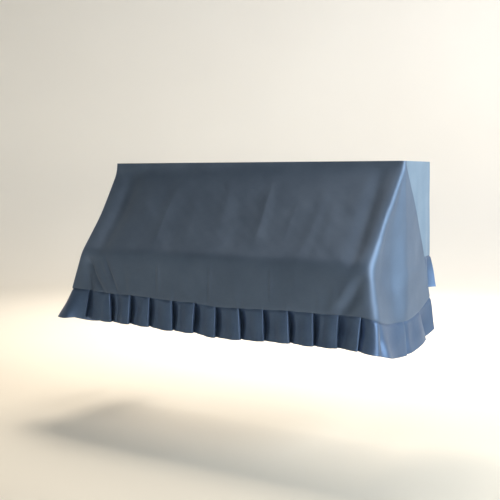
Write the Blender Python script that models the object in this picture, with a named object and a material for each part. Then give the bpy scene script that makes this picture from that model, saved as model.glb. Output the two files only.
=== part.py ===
"""Cover for an upright piano: a satin sheath with a knife-pleated frill round its hem.

It is modelled as it hangs. One panel lies on the lid. The front panel falls over the lid's front
edge, slopes out to the front of the key bed and drops to a pleated frill, and its two ends wrap
round on to the sides. A flap with a frill of its own hangs at each side, under the wrap.

Metres, +Z up, +X to the right of somebody who faces the front, -Y towards that person. The origin
is the middle of the top panel's underside, where the cover lies on the lid.
"""

import math
from typing import NamedTuple

import bpy
import numpy as np

# Driving sizes
TOP_WIDTH = 1.530        # the lid, side to side
TOP_DEPTH = 0.336        # the lid, front to back
CLOTH = 0.002            # every sheet
BUTT = 0.0003            # between a sheet's face and the edge sewn to it
SEAM = 0.0007            # between two edges sewn end to end
CORNER = 0.005           # rounding of the top panel's corners

FRONT = -TOP_DEPTH / 2   # the plane of the lid's front edge
HALF = TOP_WIDTH / 2
SKIN = BUTT + CLOTH / 2  # from an edge to the middle of the sheet that hangs beside it
LAP = 2 * SKIN + CLOTH   # from the top's side edge to the middle of the wrap, outside the flap


class Station(NamedTuple):
    """Where the front panel's two ridges are, at one line across the panel."""

    left: float          # half width at the left ridge
    right: float         # half width at the right ridge
    out: float           # in front of the lid's front edge
    down_left: float     # below the lid
    down_right: float


STATIONS = (
    Station(left=HALF + LAP, right=HALF + LAP, out=SKIN, down_left=-CLOTH, down_right=-CLOTH),
    Station(left=HALF + 0.004, right=HALF + 0.004, out=0.008, down_left=0.045, down_right=0.024),
    Station(left=0.752, right=0.748, out=0.302, down_left=0.425, down_right=0.424),
    Station(left=0.815, right=0.793, out=0.308, down_left=0.605, down_right=0.624),
)
LIP_ROUND = 0.05         # rounding of the bends between stations, as a share of a stretch
ARM_ROUND = 0.07


class WrapEdge(NamedTuple):
    """The wrap's free rear edge and the fold over the case's front corner, at one station."""

    back: float          # rear edge, behind the lid's front edge
    down: float          # rear edge, below the lid
    edge_x: float        # half width at the rear edge
    fold_x: float        # half width at the fold
    ridge_round: float   # rounding of the ridge in front of it


WRAP_EDGES = (
    WrapEdge(back=0.016, down=-CLOTH, edge_x=HALF + LAP, fold_x=HALF + LAP, ridge_round=0.006),
    WrapEdge(back=0.022, down=0.030, edge_x=HALF + 0.005, fold_x=HALF + 0.005, ridge_round=0.007),
    WrapEdge(back=0.234, down=0.416, edge_x=0.7800, fold_x=0.7900, ridge_round=0.014),
    WrapEdge(back=0.288, down=0.604, edge_x=0.7930, fold_x=0.8000, ridge_round=0.026),
)
EDGE_BOW = 0.010         # the rear edge bows back between the lid and the key bed
DIP = 0.82               # how far the wrap's rows dip, as a share of a true circular sector

SAG_LEFT = 0.013         # how far the slope hangs below a straight line, across the panel
SAG_MIDDLE = 0.010
SAG_RIGHT = 0.001


class Crease(NamedTuple):
    """A soft trough (depth below zero) or ridge on the front, from its head to its foot."""

    x_head: float
    down_head: float
    x_foot: float
    down_foot: float
    width: float
    depth: float


CREASES = (
    Crease(x_head=0.722, down_head=0.060, x_foot=0.678, down_foot=0.400, width=0.034, depth=-0.0060),
    Crease(x_head=-0.722, down_head=0.080, x_foot=-0.700, down_foot=0.400, width=0.036, depth=-0.0050),
    Crease(x_head=0.020, down_head=0.070, x_foot=-0.020, down_foot=0.420, width=0.050, depth=0.0035),
    Crease(x_head=-0.275, down_head=0.060, x_foot=-0.330, down_foot=0.400, width=0.060, depth=0.0035),
    Crease(x_head=-0.140, down_head=0.100, x_foot=-0.190, down_foot=0.410, width=0.050, depth=-0.0030),
    Crease(x_head=0.190, down_head=0.090, x_foot=0.170, down_foot=0.400, width=0.055, depth=-0.0030),
    Crease(x_head=0.380, down_head=0.080, x_foot=0.350, down_foot=0.420, width=0.060, depth=0.0030),
    Crease(x_head=0.560, down_head=0.100, x_foot=0.520, down_foot=0.420, width=0.050, depth=-0.0025),
    Crease(x_head=-0.705, down_head=0.455, x_foot=-0.598, down_foot=0.600, width=0.020, depth=-0.0070),
    Crease(x_head=-0.660, down_head=0.440, x_foot=-0.560, down_foot=0.600, width=0.022, depth=0.0050),
    Crease(x_head=-0.572, down_head=0.455, x_foot=-0.517, down_foot=0.600, width=0.018, depth=-0.0050),
    Crease(x_head=-0.370, down_head=0.440, x_foot=-0.355, down_foot=0.600, width=0.022, depth=0.0040),
    Crease(x_head=-0.288, down_head=0.470, x_foot=-0.276, down_foot=0.606, width=0.018, depth=-0.0045),
    Crease(x_head=-0.002, down_head=0.438, x_foot=-0.009, down_foot=0.608, width=0.016, depth=-0.0060),
    Crease(x_head=0.298, down_head=0.450, x_foot=0.298, down_foot=0.580, width=0.018, depth=0.0045),
    Crease(x_head=0.728, down_head=0.450, x_foot=0.645, down_foot=0.600, width=0.022, depth=-0.0080),
    Crease(x_head=0.690, down_head=0.440, x_foot=0.600, down_foot=0.600, width=0.024, depth=0.0050),
    Crease(x_head=0.592, down_head=0.550, x_foot=0.576, down_foot=0.606, width=0.016, depth=-0.0050),
)


class Pleat(NamedTuple):
    """A pleat's folded edge: its place along the seam, and how it stands at seam and hem."""

    place: float         # x on the front, or distance behind the lid's front edge on a side
    flare: float         # how far the folded edge stands out at the hem
    lean: float          # how far the hem end is ahead of the seam end, along the strip
    seam: float = 0.0    # on the front, how far the seam is below the lid there


FRONT_PLEATS = (
    Pleat(place=-0.701, flare=0.030, lean=0.010, seam=0.608),
    Pleat(place=-0.572, flare=0.027, lean=0.006, seam=0.615),
    Pleat(place=-0.449, flare=0.028, lean=0.004, seam=0.614),
    Pleat(place=-0.339, flare=0.024, lean=0.003, seam=0.617),
    Pleat(place=-0.210, flare=0.027, lean=0.004, seam=0.622),
    Pleat(place=-0.086, flare=0.025, lean=0.002, seam=0.622),
    Pleat(place=0.024, flare=0.023, lean=0.004, seam=0.631),
    Pleat(place=0.144, flare=0.027, lean=0.003, seam=0.627),
    Pleat(place=0.263, flare=0.024, lean=0.002, seam=0.622),
    Pleat(place=0.382, flare=0.026, lean=0.004, seam=0.618),
    Pleat(place=0.499, flare=0.027, lean=0.002, seam=0.618),
    Pleat(place=0.612, flare=0.024, lean=0.003, seam=0.616),
    Pleat(place=0.709, flare=0.022, lean=0.004, seam=0.615),
)
RIGHT_PLEATS = (
    Pleat(place=-0.272, flare=0.022, lean=0.004),
    Pleat(place=-0.012, flare=0.020, lean=0.006),
    Pleat(place=0.159, flare=0.020, lean=0.020),
)
LEFT_PLEATS = (
    Pleat(place=0.175, flare=0.020, lean=0.006),
    Pleat(place=0.030, flare=0.022, lean=0.004),
    Pleat(place=-0.120, flare=0.024, lean=0.004),
    Pleat(place=-0.262, flare=0.028, lean=0.006),
)
FLAP_PLEATS = (
    Pleat(place=0.070, flare=0.006, lean=0.003),
    Pleat(place=0.180, flare=0.006, lean=0.003),
    Pleat(place=0.272, flare=0.008, lean=0.004),
)

FRILL_FRONT = 0.133      # the frill's height on the front, on the wraps and under the flaps
FRILL_SIDE = 0.143
FRILL_FLAP = 0.141
TUCK = 0.030             # how far a pleat is folded under
LAYER = 0.0033           # between the middles of two layers that are folded together
OPEN_SHARE = 0.45        # how far the layer behind stands out at the hem, as a share of the flare
START_SHARE = 0.15       # the same for a panel's start, just past the folded edge before it
LEFT_FLARE = 0.056       # added to the flare where the strip rounds a front corner
RIGHT_FLARE = 0.030
CORNER_REACH = 0.060     # length of strip over which that fades
END_FLARE = 0.026        # flare at the free ends of a frill

FLAP_FRONT = 0.010       # the flap's front edge, behind the lid's front edge
FLAP_BACK = 0.3265       # its rear edge, just short of the lid's
FLAP_DROP = 0.419
FLAP_STAND = 0.0075      # how far its foot hangs out from the case, over the frill's layers
FLAP_FOLDS = ((0.075, 0.0018), (0.170, 0.0016), (0.262, 0.0022))
FLAP_FOLD_WIDTH = 0.022

# How finely each sheet is meshed
ROWS = (0.0, 0.5, 0.94, 1.02, 1.14, 1.35, 1.6, 1.82, 1.95, 2.02, 2.1, 2.35, 2.68, 3.0)
FRONT_COLUMNS = 52
WRAP_COLUMNS = 7
RIDGE_STEPS = 3
FRILL_ROWS = (0.0, 0.3, 0.65, 1.0)
FLAP_ROWS = 6
FLAP_COLUMNS = 13


class Finish(NamedTuple):
    """One piece's colour (linear) and surface."""

    colour: tuple
    roughness: float


SATIN_FRONT = Finish(colour=(0.095, 0.150, 0.240), roughness=0.42)
SATIN_TOP = Finish(colour=(0.105, 0.165, 0.262), roughness=0.42)
SATIN_FLAP = Finish(colour=(0.125, 0.195, 0.300), roughness=0.42)
SATIN_FRILL = Finish(colour=(0.085, 0.135, 0.220), roughness=0.44)


def mix(a, b, share):
    """The value or vector that lies at a share of the way from a to b."""
    return a + (b - a) * share


def between_stations(values, v):
    """A station table's column read at v, with straight runs between its rows."""
    low = min(int(v), len(values) - 2)
    return mix(values[low], values[low + 1], v - low)


def rounding(v, knot, reach):
    """Share of a change of direction that rounds the bend at a knot."""
    return max(0.0, reach - abs(v - knot)) ** 2 / (4 * reach)


def rounded(values, v):
    """A station table's column read at v, with its inner bends rounded."""
    result = between_stations(values, v)
    for knot, reach in ((1, LIP_ROUND), (2, ARM_ROUND)):
        turn = (values[knot + 1] - values[knot]) - (values[knot] - values[knot - 1])
        result += turn * rounding(v, knot, reach)
    return result


def swell(v, start, end):
    """A smooth rise and fall between two stations, zero outside them."""
    if not start < v < end:
        return 0.0
    return math.sin(math.pi * (v - start) / (end - start))


def ridge_point(v, side):
    """The front panel's ridge, left (side -1) or right (side +1), at station v."""
    half = rounded([s.left if side < 0 else s.right for s in STATIONS], v)
    out = rounded([s.out for s in STATIONS], v)
    down = rounded([s.down_left if side < 0 else s.down_right for s in STATIONS], v)
    sag = (SAG_LEFT if side < 0 else SAG_RIGHT) * swell(v, 1, 2)
    return np.array([side * half, FRONT - out + sag * 0.8, -down - sag * 0.6])


def seam_drop(x):
    """How far the front seam hangs below the lid at x, read along the pleats."""
    last = STATIONS[-1]
    places = [-last.left] + [p.place for p in FRONT_PLEATS] + [last.right]
    drops = [last.down_left] + [p.seam for p in FRONT_PLEATS] + [last.down_right]
    return float(np.interp(x, places, drops))


def crease_relief(x, down):
    """How far the front's creases lift it (above zero) or sink it at a point."""
    total = 0.0
    for crease in CREASES:
        head = np.array([crease.x_head, crease.down_head])
        run = np.array([crease.x_foot, crease.down_foot]) - head
        offset = np.array([x, down]) - head
        along = float(offset @ run / (run @ run))
        nearest = min(1.0, max(0.0, along))
        distance = float(np.linalg.norm(offset - nearest * run))
        fade = math.sin(math.pi * min(1.0, max(0.0, 0.08 + 0.84 * nearest))) ** 0.5
        total += crease.depth * fade * math.exp(-((distance / crease.width) ** 2))
    return total


def front_point(v, share):
    """The front between the ridges: share runs from the left ridge to the right one."""
    left, right = ridge_point(v, -1), ridge_point(v, 1)
    point = mix(left, right, share)
    middle = 1.0 - abs(2 * share - 1) ** 2
    own_sag = mix(SAG_LEFT, SAG_RIGHT, share)
    more_sag = (SAG_MIDDLE - own_sag) * middle * swell(v, 1, 2)
    if v > 2:
        straight = mix(STATIONS[-1].down_left, STATIONS[-1].down_right, share)
        point[2] -= (seam_drop(point[0]) - straight) * (v - 2)
    lift = crease_relief(point[0], -point[2]) * min(1.0, v)
    slope = 1.0 if 1 < v < 2 else 0.0
    point[1] += more_sag * 0.8 - lift * mix(1.0, 0.8, slope)
    point[2] += -more_sag * 0.6 + lift * 0.6 * slope
    return point


def wrap_point(v, share, side):
    """The wrap behind a ridge: share runs from the ridge to the free rear edge."""
    ridge = ridge_point(v, side)
    back = rounded([e.back for e in WRAP_EDGES], v) + EDGE_BOW * swell(v, 1, 2)
    down = rounded([e.down for e in WRAP_EDGES], v)
    edge = np.array([0.0, FRONT + back, -down])
    flat = mix(ridge, edge, share)
    chord = edge[1:] - ridge[1:]
    length = float(np.linalg.norm(chord))
    radius = max(length, math.hypot(edge[1] - FRONT, edge[2]))
    dip = DIP * length**2 / (8 * radius) * 4 * share * (1 - share)
    normal = np.array([chord[1], -chord[0]]) / length
    y, z = flat[1:] + dip * normal
    fold_x = rounded([e.fold_x for e in WRAP_EDGES], v)
    edge_x = rounded([e.edge_x for e in WRAP_EDGES], v)
    fold_share = (FRONT - ridge[1]) / (edge[1] - ridge[1])
    x = wrap_width(share, fold_share, abs(ridge[0]), fold_x, edge_x)
    return np.array([side * x, y, z])


def wrap_width(share, fold_share, ridge_x, fold_x, edge_x):
    """Half width across the wrap: a rounded roof, highest where the case's corner is."""
    reach = 0.9 * min(fold_share, 1 - fold_share)
    before = (fold_x - ridge_x) / max(fold_share, 1e-6)
    after = (edge_x - fold_x) / (1 - fold_share)
    if share < fold_share:
        x = ridge_x + before * share
    else:
        x = fold_x + after * (share - fold_share)
    if reach > 0:
        x += (after - before) * rounding(share, fold_share, reach)
    return x


def front_row(v, front_steps, wrap_steps, ridge_steps):
    """One row of the front panel, from the left rear edge round to the right one."""
    radius = rounded([e.ridge_round for e in WRAP_EDGES], v)
    sides = {}
    for side in (-1, 1):
        ridge = ridge_point(v, side)
        wrap_length = float(np.linalg.norm(wrap_point(v, 1.0, side) - ridge))
        first = radius / wrap_length
        wrap = [wrap_point(v, mix(first, 1.0, i / wrap_steps), side) for i in range(wrap_steps + 1)]
        share = radius / (ridge_point(v, 1)[0] - ridge_point(v, -1)[0])
        inner = front_point(v, share if side < 0 else 1 - share)
        sides[side] = (inner, ridge, wrap, share)
    row = sides[-1][2][::-1]
    row += bend(row[-1], sides[-1][1], sides[-1][0], ridge_steps)
    share = sides[-1][3]
    row += [front_point(v, mix(share, 1 - share, i / front_steps)) for i in range(front_steps + 1)]
    row += bend(sides[1][0], sides[1][1], sides[1][2][0], ridge_steps)
    row += sides[1][2]
    return row


def bend(start, corner, end, steps):
    """The points between start and end of a rounded corner, without its two ends."""
    points = []
    for i in range(1, steps):
        t = i / steps
        points.append((1 - t) ** 2 * start + 2 * t * (1 - t) * corner + t**2 * end)
    return points


class Strip:
    """The line that a frill hangs from, read by the distance along it."""

    def __init__(self, points):
        self.points = np.array(points)
        steps = np.linalg.norm(np.diff(self.points, axis=0), axis=1)
        self.marks = np.concatenate([[0.0], np.cumsum(steps)])
        self.length = float(self.marks[-1])

    def at(self, along):
        """The point at a distance along the line."""
        return np.array([np.interp(along, self.marks, self.points[:, k]) for k in range(3)])

    def outward(self, along):
        """The level direction away from the piano, smoothed over a short length."""
        reach = 0.02
        run = self.at(min(along + reach, self.length)) - self.at(max(along - reach, 0.0))
        return np.array([run[1], -run[0], 0.0]) / math.hypot(run[0], run[1])

    def where(self, axis, value, low=0.0, high=1.0):
        """Distance along the line, between two shares of it, where an axis has a value."""
        inside = (self.marks >= low * self.length) & (self.marks <= high * self.length)
        values = self.points[inside, axis]
        marks = self.marks[inside]
        order = np.argsort(values)
        return float(np.interp(value, values[order], marks[order]))


class Fold(NamedTuple):
    """A folded edge placed on its strip: distance along, stand at the hem and lean."""

    along: float
    flare: float
    lean: float


def frill_columns(strip, folds, end_flares):
    """Each column of a knife-pleated strip: distance along, tuck at the seam, stand and lean.

    A column stands at each vertex of the line that the strip hangs from, so that the two edges
    match, and five more make the three layers of each pleat. Every folded edge points onwards.
    """
    columns = []
    start = Fold(0.0, end_flares[0], 0.0)
    start_tuck = 0.0
    for fold in folds + [Fold(strip.length, end_flares[1], 0.0)]:
        last = fold.along == strip.length
        for mark in strip.marks:
            share = (mark - start.along) / (fold.along - start.along)
            inside = start.along + 2 * LAYER < mark < fold.along - 2 * LAYER
            if inside or mark == 0.0 == start.along or (last and mark == strip.length):
                stand = mix(start.flare, fold.flare, share**1.5)
                columns.append((mark, start_tuck * (1 - share), stand, fold.lean * share))
        if last:
            return columns
        columns.append((fold.along, 0.0, fold.flare, fold.lean))
        columns.append((fold.along, LAYER, fold.flare - LAYER, fold.lean))
        behind = OPEN_SHARE * fold.flare
        columns.append((fold.along - TUCK, LAYER, behind, fold.lean / 2))
        columns.append((fold.along - TUCK, 2 * LAYER, behind - LAYER, fold.lean / 2))
        start = Fold(fold.along, START_SHARE * fold.flare, fold.lean)
        columns.append((start.along + LAYER, 2 * LAYER, start.flare, start.lean))
        start_tuck = 2 * LAYER
    return columns


def frill_grid(strip, folds, height, corners, end_flares):
    """Rows of points of a knife-pleated strip that hangs from a line.

    height is a function of the distance along the line. corners holds the distance at which the
    strip rounds each corner, and how much further it stands out there.
    """
    columns = frill_columns(strip, folds, end_flares)
    rows = []
    for fall in FRILL_ROWS:
        row = []
        for along, tuck, stand, lean in columns:
            more = sum(f * math.exp(-(((along - c) / CORNER_REACH) ** 2)) for c, f in corners)
            out = (stand + more) * fall**1.15 - tuck * (1 - fall)
            place = min(strip.length, max(0.0, along + lean * fall))
            point = strip.at(place) + strip.outward(place) * out
            point[2] -= SEAM + height(along) * fall
            row.append(point)
        rows.append(row)
    return rows


def sheet_object(name, rows, finish):
    """A closed cloth solid: the grid of points is its middle surface, given the cloth's thickness."""
    width = len(rows[0])
    points = [tuple(point) for row in rows for point in row]
    faces = []
    for i in range(len(rows) - 1):
        for j in range(width - 1):
            corner = i * width + j
            faces.append((corner, corner + width, corner + width + 1, corner + 1))
    mesh = bpy.data.meshes.new(name)
    mesh.from_pydata(points, [], faces)
    mesh.update()
    piece = bpy.data.objects.new(name, mesh)
    bpy.context.scene.collection.objects.link(piece)
    wall = piece.modifiers.new("cloth thickness", "SOLIDIFY")
    wall.thickness = CLOTH
    wall.offset = 0.0
    wall.use_even_offset = True
    wall.use_quality_normals = True
    dress(piece, finish)
    return piece


def dress(piece, finish):
    """Give a piece its own satin material and smooth shading."""
    material = bpy.data.materials.new(piece.name + "_satin")
    material.use_nodes = True
    shader = material.node_tree.nodes["Principled BSDF"]
    shader.inputs["Base Color"].default_value = (*finish.colour, 1.0)
    shader.inputs["Roughness"].default_value = finish.roughness
    shader.inputs["Metallic"].default_value = 0.0
    piece.data.materials.append(material)
    piece.data.shade_smooth()


def top_panel():
    """The flat panel on the lid: a plate of cloth with rounded corners."""
    steps = 4
    outline = []
    for quarter, (side_x, side_y) in enumerate(((1, 1), (-1, 1), (-1, -1), (1, -1))):
        centre_x = side_x * (HALF - CORNER)
        centre_y = side_y * (TOP_DEPTH / 2 - CORNER)
        for i in range(steps + 1):
            angle = math.pi / 2 * (quarter + i / steps)
            outline.append((centre_x + CORNER * math.cos(angle), centre_y + CORNER * math.sin(angle)))
    count = len(outline)
    points = [(x, y, 0.0) for x, y in outline] + [(x, y, CLOTH) for x, y in outline]
    faces = [tuple(range(count - 1, -1, -1)), tuple(range(count, 2 * count))]
    for i in range(count):
        after = (i + 1) % count
        faces.append((i, after, after + count, i + count))
    mesh = bpy.data.meshes.new("top_panel")
    mesh.from_pydata(points, [], faces)
    mesh.update()
    piece = bpy.data.objects.new("top_panel", mesh)
    bpy.context.scene.collection.objects.link(piece)
    dress(piece, SATIN_TOP)
    piece.data.set_sharp_from_angle(angle=math.radians(40))


def front_panel():
    """The sloping front with its fall and its two wraps."""
    rows = [front_row(v, FRONT_COLUMNS, WRAP_COLUMNS, RIDGE_STEPS) for v in ROWS]
    sheet_object("front_panel", rows, SATIN_FRONT)


def front_frill():
    """The long frill under the front panel, from the left wrap's rear edge to the right one's."""
    strip = Strip(front_row(ROWS[-1], FRONT_COLUMNS, WRAP_COLUMNS, RIDGE_STEPS))
    left_corner = strip.where(0, -STATIONS[-1].left + 0.01, 0.2, 0.5)
    right_corner = strip.where(0, STATIONS[-1].right - 0.01, 0.5, 0.8)
    low, high = left_corner / strip.length, right_corner / strip.length
    folds = [Fold(strip.where(1, FRONT + p.place, 0.0, low), p.flare, p.lean) for p in LEFT_PLEATS]
    folds += [Fold(strip.where(0, p.place, low, high), p.flare, p.lean) for p in FRONT_PLEATS]
    folds += [Fold(strip.where(1, FRONT + p.place, high, 1.0), p.flare, p.lean) for p in RIGHT_PLEATS]

    def height(along):
        outside = max(left_corner - along, along - right_corner)
        return mix(FRILL_FRONT, FRILL_SIDE, min(1.0, max(0.0, 0.3 + outside / 0.2)))

    corners = ((left_corner, LEFT_FLARE), (right_corner, RIGHT_FLARE))
    rows = frill_grid(strip, folds, height, corners, (END_FLARE, END_FLARE * 0.6))
    sheet_object("front_frill", rows, SATIN_FRILL)


def flap_point(along, fall, side):
    """The side flap: along runs from its front edge to its rear one, fall from top to foot."""
    folds = sum(
        height * math.exp(-(((along - place) / FLAP_FOLD_WIDTH) ** 2)) for place, height in FLAP_FOLDS
    )
    x = HALF + SKIN + FLAP_STAND * fall + folds * math.sin(math.pi * fall * 0.5)
    return np.array([side * x, FRONT + along, mix(CLOTH, -FLAP_DROP, fall)])


def flap_row(fall, side):
    """One row of a flap, in the order that puts its outer face outwards."""
    places = [mix(FLAP_FRONT, FLAP_BACK, j / FLAP_COLUMNS) for j in range(FLAP_COLUMNS + 1)]
    return [flap_point(along, fall, side) for along in places[::side]]


def side_flap(side, name):
    """The flap that hangs from a side edge of the top panel, under the wrap."""
    sheet_object(name, [flap_row(i / FLAP_ROWS, side) for i in range(FLAP_ROWS + 1)], SATIN_FLAP)


def flap_frill(side, name):
    """The frill under a side flap."""
    strip = Strip(flap_row(1.0, side))
    folds = [Fold(strip.where(1, FRONT + p.place), p.flare, p.lean) for p in FLAP_PLEATS[::side]]
    ends = (0.0, END_FLARE) if side > 0 else (END_FLARE, 0.0)
    rows = frill_grid(strip, folds, lambda along: FRILL_FLAP, (), ends)
    sheet_object(name, rows, SATIN_FRILL)


def main():
    """Clear the scene and build every piece."""
    for piece in list(bpy.data.objects):
        bpy.data.objects.remove(piece, do_unlink=True)
    top_panel()
    front_panel()
    front_frill()
    for side, word in ((-1, "left"), (1, "right")):
        side_flap(side, "side_flap_" + word)
        flap_frill(side, "flap_frill_" + word)


main()
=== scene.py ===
"""Dresses the cover of an upright piano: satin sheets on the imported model's folds.

The pieces are the panel on the lid, the sloping front with its two wraps, the flaps at the sides,
the knife-pleated frills, and the stitches of the hems. Everything is in metres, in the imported
model's own frame: +X to the right of somebody who faces the front, -Y towards that person, +Z up,
and the origin under the middle of the top panel.
"""

from __future__ import annotations

import logging
import math
from dataclasses import dataclass, field
from enum import Enum
from typing import NamedTuple

import bmesh
import bpy
import numpy as np
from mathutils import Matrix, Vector


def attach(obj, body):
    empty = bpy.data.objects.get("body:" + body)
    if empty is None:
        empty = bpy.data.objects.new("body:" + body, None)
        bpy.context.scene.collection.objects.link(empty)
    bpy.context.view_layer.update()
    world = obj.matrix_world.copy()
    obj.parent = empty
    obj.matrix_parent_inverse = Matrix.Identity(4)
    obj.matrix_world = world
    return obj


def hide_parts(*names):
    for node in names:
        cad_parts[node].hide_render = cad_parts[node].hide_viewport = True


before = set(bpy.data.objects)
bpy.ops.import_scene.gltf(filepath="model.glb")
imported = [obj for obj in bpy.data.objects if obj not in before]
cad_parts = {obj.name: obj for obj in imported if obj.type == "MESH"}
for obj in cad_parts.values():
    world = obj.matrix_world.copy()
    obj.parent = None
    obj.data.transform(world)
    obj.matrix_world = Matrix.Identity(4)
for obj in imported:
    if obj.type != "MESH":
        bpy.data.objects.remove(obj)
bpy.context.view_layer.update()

logging.basicConfig(level=logging.INFO, format="%(message)s")
log = logging.getLogger("piano cover")


class Side(Enum):
    """One end of the cover."""

    LEFT = -1
    RIGHT = 1


class Station(NamedTuple):
    """Where the front's two ridges are, at one line across the panel."""

    left: float
    right: float
    out: float
    down_left: float
    down_right: float


class WrapEdge(NamedTuple):
    """The wrap's rear edge and the fold over the case's front corner, at one station."""

    back: float
    down: float
    edge_x: float
    fold_x: float
    ridge_round: float


class Crease(NamedTuple):
    """A soft ridge (lift above zero) or trough on a face, from its head to its foot.

    Places are across and down the face. bow bends the line sideways at its middle.
    """

    head_across: float
    head_down: float
    foot_across: float
    foot_down: float
    bow: float
    width: float
    lift: float


class Pleat(NamedTuple):
    """A pleat's folded edge: its place along the seam, and how it stands at seam and hem."""

    place: float
    flare: float
    lean: float
    seam: float = 0.0


class Fold(NamedTuple):
    """A folded edge placed on its strip: distance along, stand at the hem and lean."""

    along: float
    flare: float
    lean: float


@dataclass(frozen=True)
class Sizes:
    """The driving sizes of the whole cover."""

    top_width: float = 1.530
    top_depth: float = 0.336
    node_cloth: float = 0.002
    butt: float = 0.0003
    cloth: float = 0.0011
    hem_cloth: float = 0.0018
    hem_band: float = 0.006
    floor: float = -1.2137

    @property
    def front(self) -> float:
        """The plane of the lid's front edge."""
        return -self.top_depth / 2

    @property
    def half(self) -> float:
        """Half the lid's width."""
        return self.top_width / 2

    @property
    def skin(self) -> float:
        """From the top's edge to the middle of the sheet that hangs beside it."""
        return self.butt + self.node_cloth / 2

    @property
    def lap(self) -> float:
        """From the top's side edge to the middle of the wrap, outside the flap."""
        return 2 * self.skin + self.node_cloth


SIZES = Sizes()

# The way that the right ridge is pushed out: to the right, forwards and up.
RIGHT_RIDGE_OUT = np.array([0.7, -0.6, 0.38])


def mix(a: float | np.ndarray, b: float | np.ndarray, share: float | np.ndarray) -> float | np.ndarray:
    """The value that lies at a share of the way from a to b."""
    return a + (b - a) * share


def smooth(values: float | np.ndarray) -> float | np.ndarray:
    """A smooth step from 0 to 1."""
    clipped = np.clip(values, 0.0, 1.0)
    return clipped * clipped * (3 - 2 * clipped)


def linear(hex_colour: str, alpha: float = 1.0) -> tuple[float, float, float, float]:
    """Turn an sRGB hex colour to a linear one.

    Args:
        hex_colour: six hex digits, with or without a leading #.
        alpha: the fourth value.

    Returns:
        The linear red, green, blue and alpha.
    """
    digits = hex_colour.lstrip("#")
    channels = [int(digits[i : i + 2], 16) / 255 for i in (0, 2, 4)]
    red, green, blue = (c / 12.92 if c <= 0.04045 else ((c + 0.055) / 1.055) ** 2.4 for c in channels)
    return red, green, blue, alpha


def add_node(
    tree: bpy.types.NodeTree, kind: str, settings: dict[str, object] | None = None, **links: object
) -> bpy.types.Node:
    """Add a node with its settings and links.

    Args:
        tree: the node tree.
        kind: the node's type name.
        settings: attributes of the node, by name.
        links: input name with _ for a blank, or i and a number, to a value or an output socket.

    Returns:
        The new node.
    """
    node = tree.nodes.new(kind)
    for name, value in (settings or {}).items():
        setattr(node, name, value)
    for name, value in links.items():
        key = int(name[1:]) if name[0] == "i" and name[1:].isdigit() else name.replace("_", " ")
        socket = node.inputs[key]
        if isinstance(value, bpy.types.NodeSocket):
            tree.links.new(value, socket)
        else:
            socket.default_value = value
    return node


def new_surface(name: str) -> tuple[bpy.types.Material, bpy.types.NodeTree, bpy.types.Node]:
    """Make a material.

    Args:
        name: the real thing that it stands for.

    Returns:
        The material, its node tree and its shader.
    """
    material = bpy.data.materials.new(name)
    material.use_nodes = True
    return material, material.node_tree, material.node_tree.nodes["Principled BSDF"]


def colour_between(tree: bpy.types.NodeTree, share: bpy.types.NodeSocket, deep: str, pale: str) -> None:
    """Colour a material's shader between two tones.

    Args:
        tree: the material's node tree.
        share: from 0 for the deep tone to 1 for the pale one.
        deep: a hex colour.
        pale: a hex colour.
    """
    tones = add_node(
        tree, "ShaderNodeMix", {"data_type": "RGBA"}, i0=share, i6=linear(deep), i7=linear(pale)
    )
    tree.links.new(tones.outputs[2], tree.nodes["Principled BSDF"].inputs["Base Color"])


def link_object(name: str, data: bpy.types.ID) -> bpy.types.Object:
    """Make an object and link it to the scene.

    Args:
        name: the object's name.
        data: its mesh, light or camera.

    Returns:
        The object.
    """
    made = bpy.data.objects.new(name, data)
    bpy.context.scene.collection.objects.link(made)
    return made


def add_inputs(tree: bpy.types.NodeTree, values: dict[str, float], seed: int) -> None:
    """Give a Geometry Nodes tree its named inputs.

    Args:
        tree: the tree.
        values: each length's default, by its name.
        seed: the default of the seed.
    """
    for name, value in values.items():
        socket = tree.interface.new_socket(name, in_out="INPUT", socket_type="NodeSocketFloat")
        socket.default_value = value
    tree.interface.new_socket("Seed", in_out="INPUT", socket_type="NodeSocketInt").default_value = seed


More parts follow.
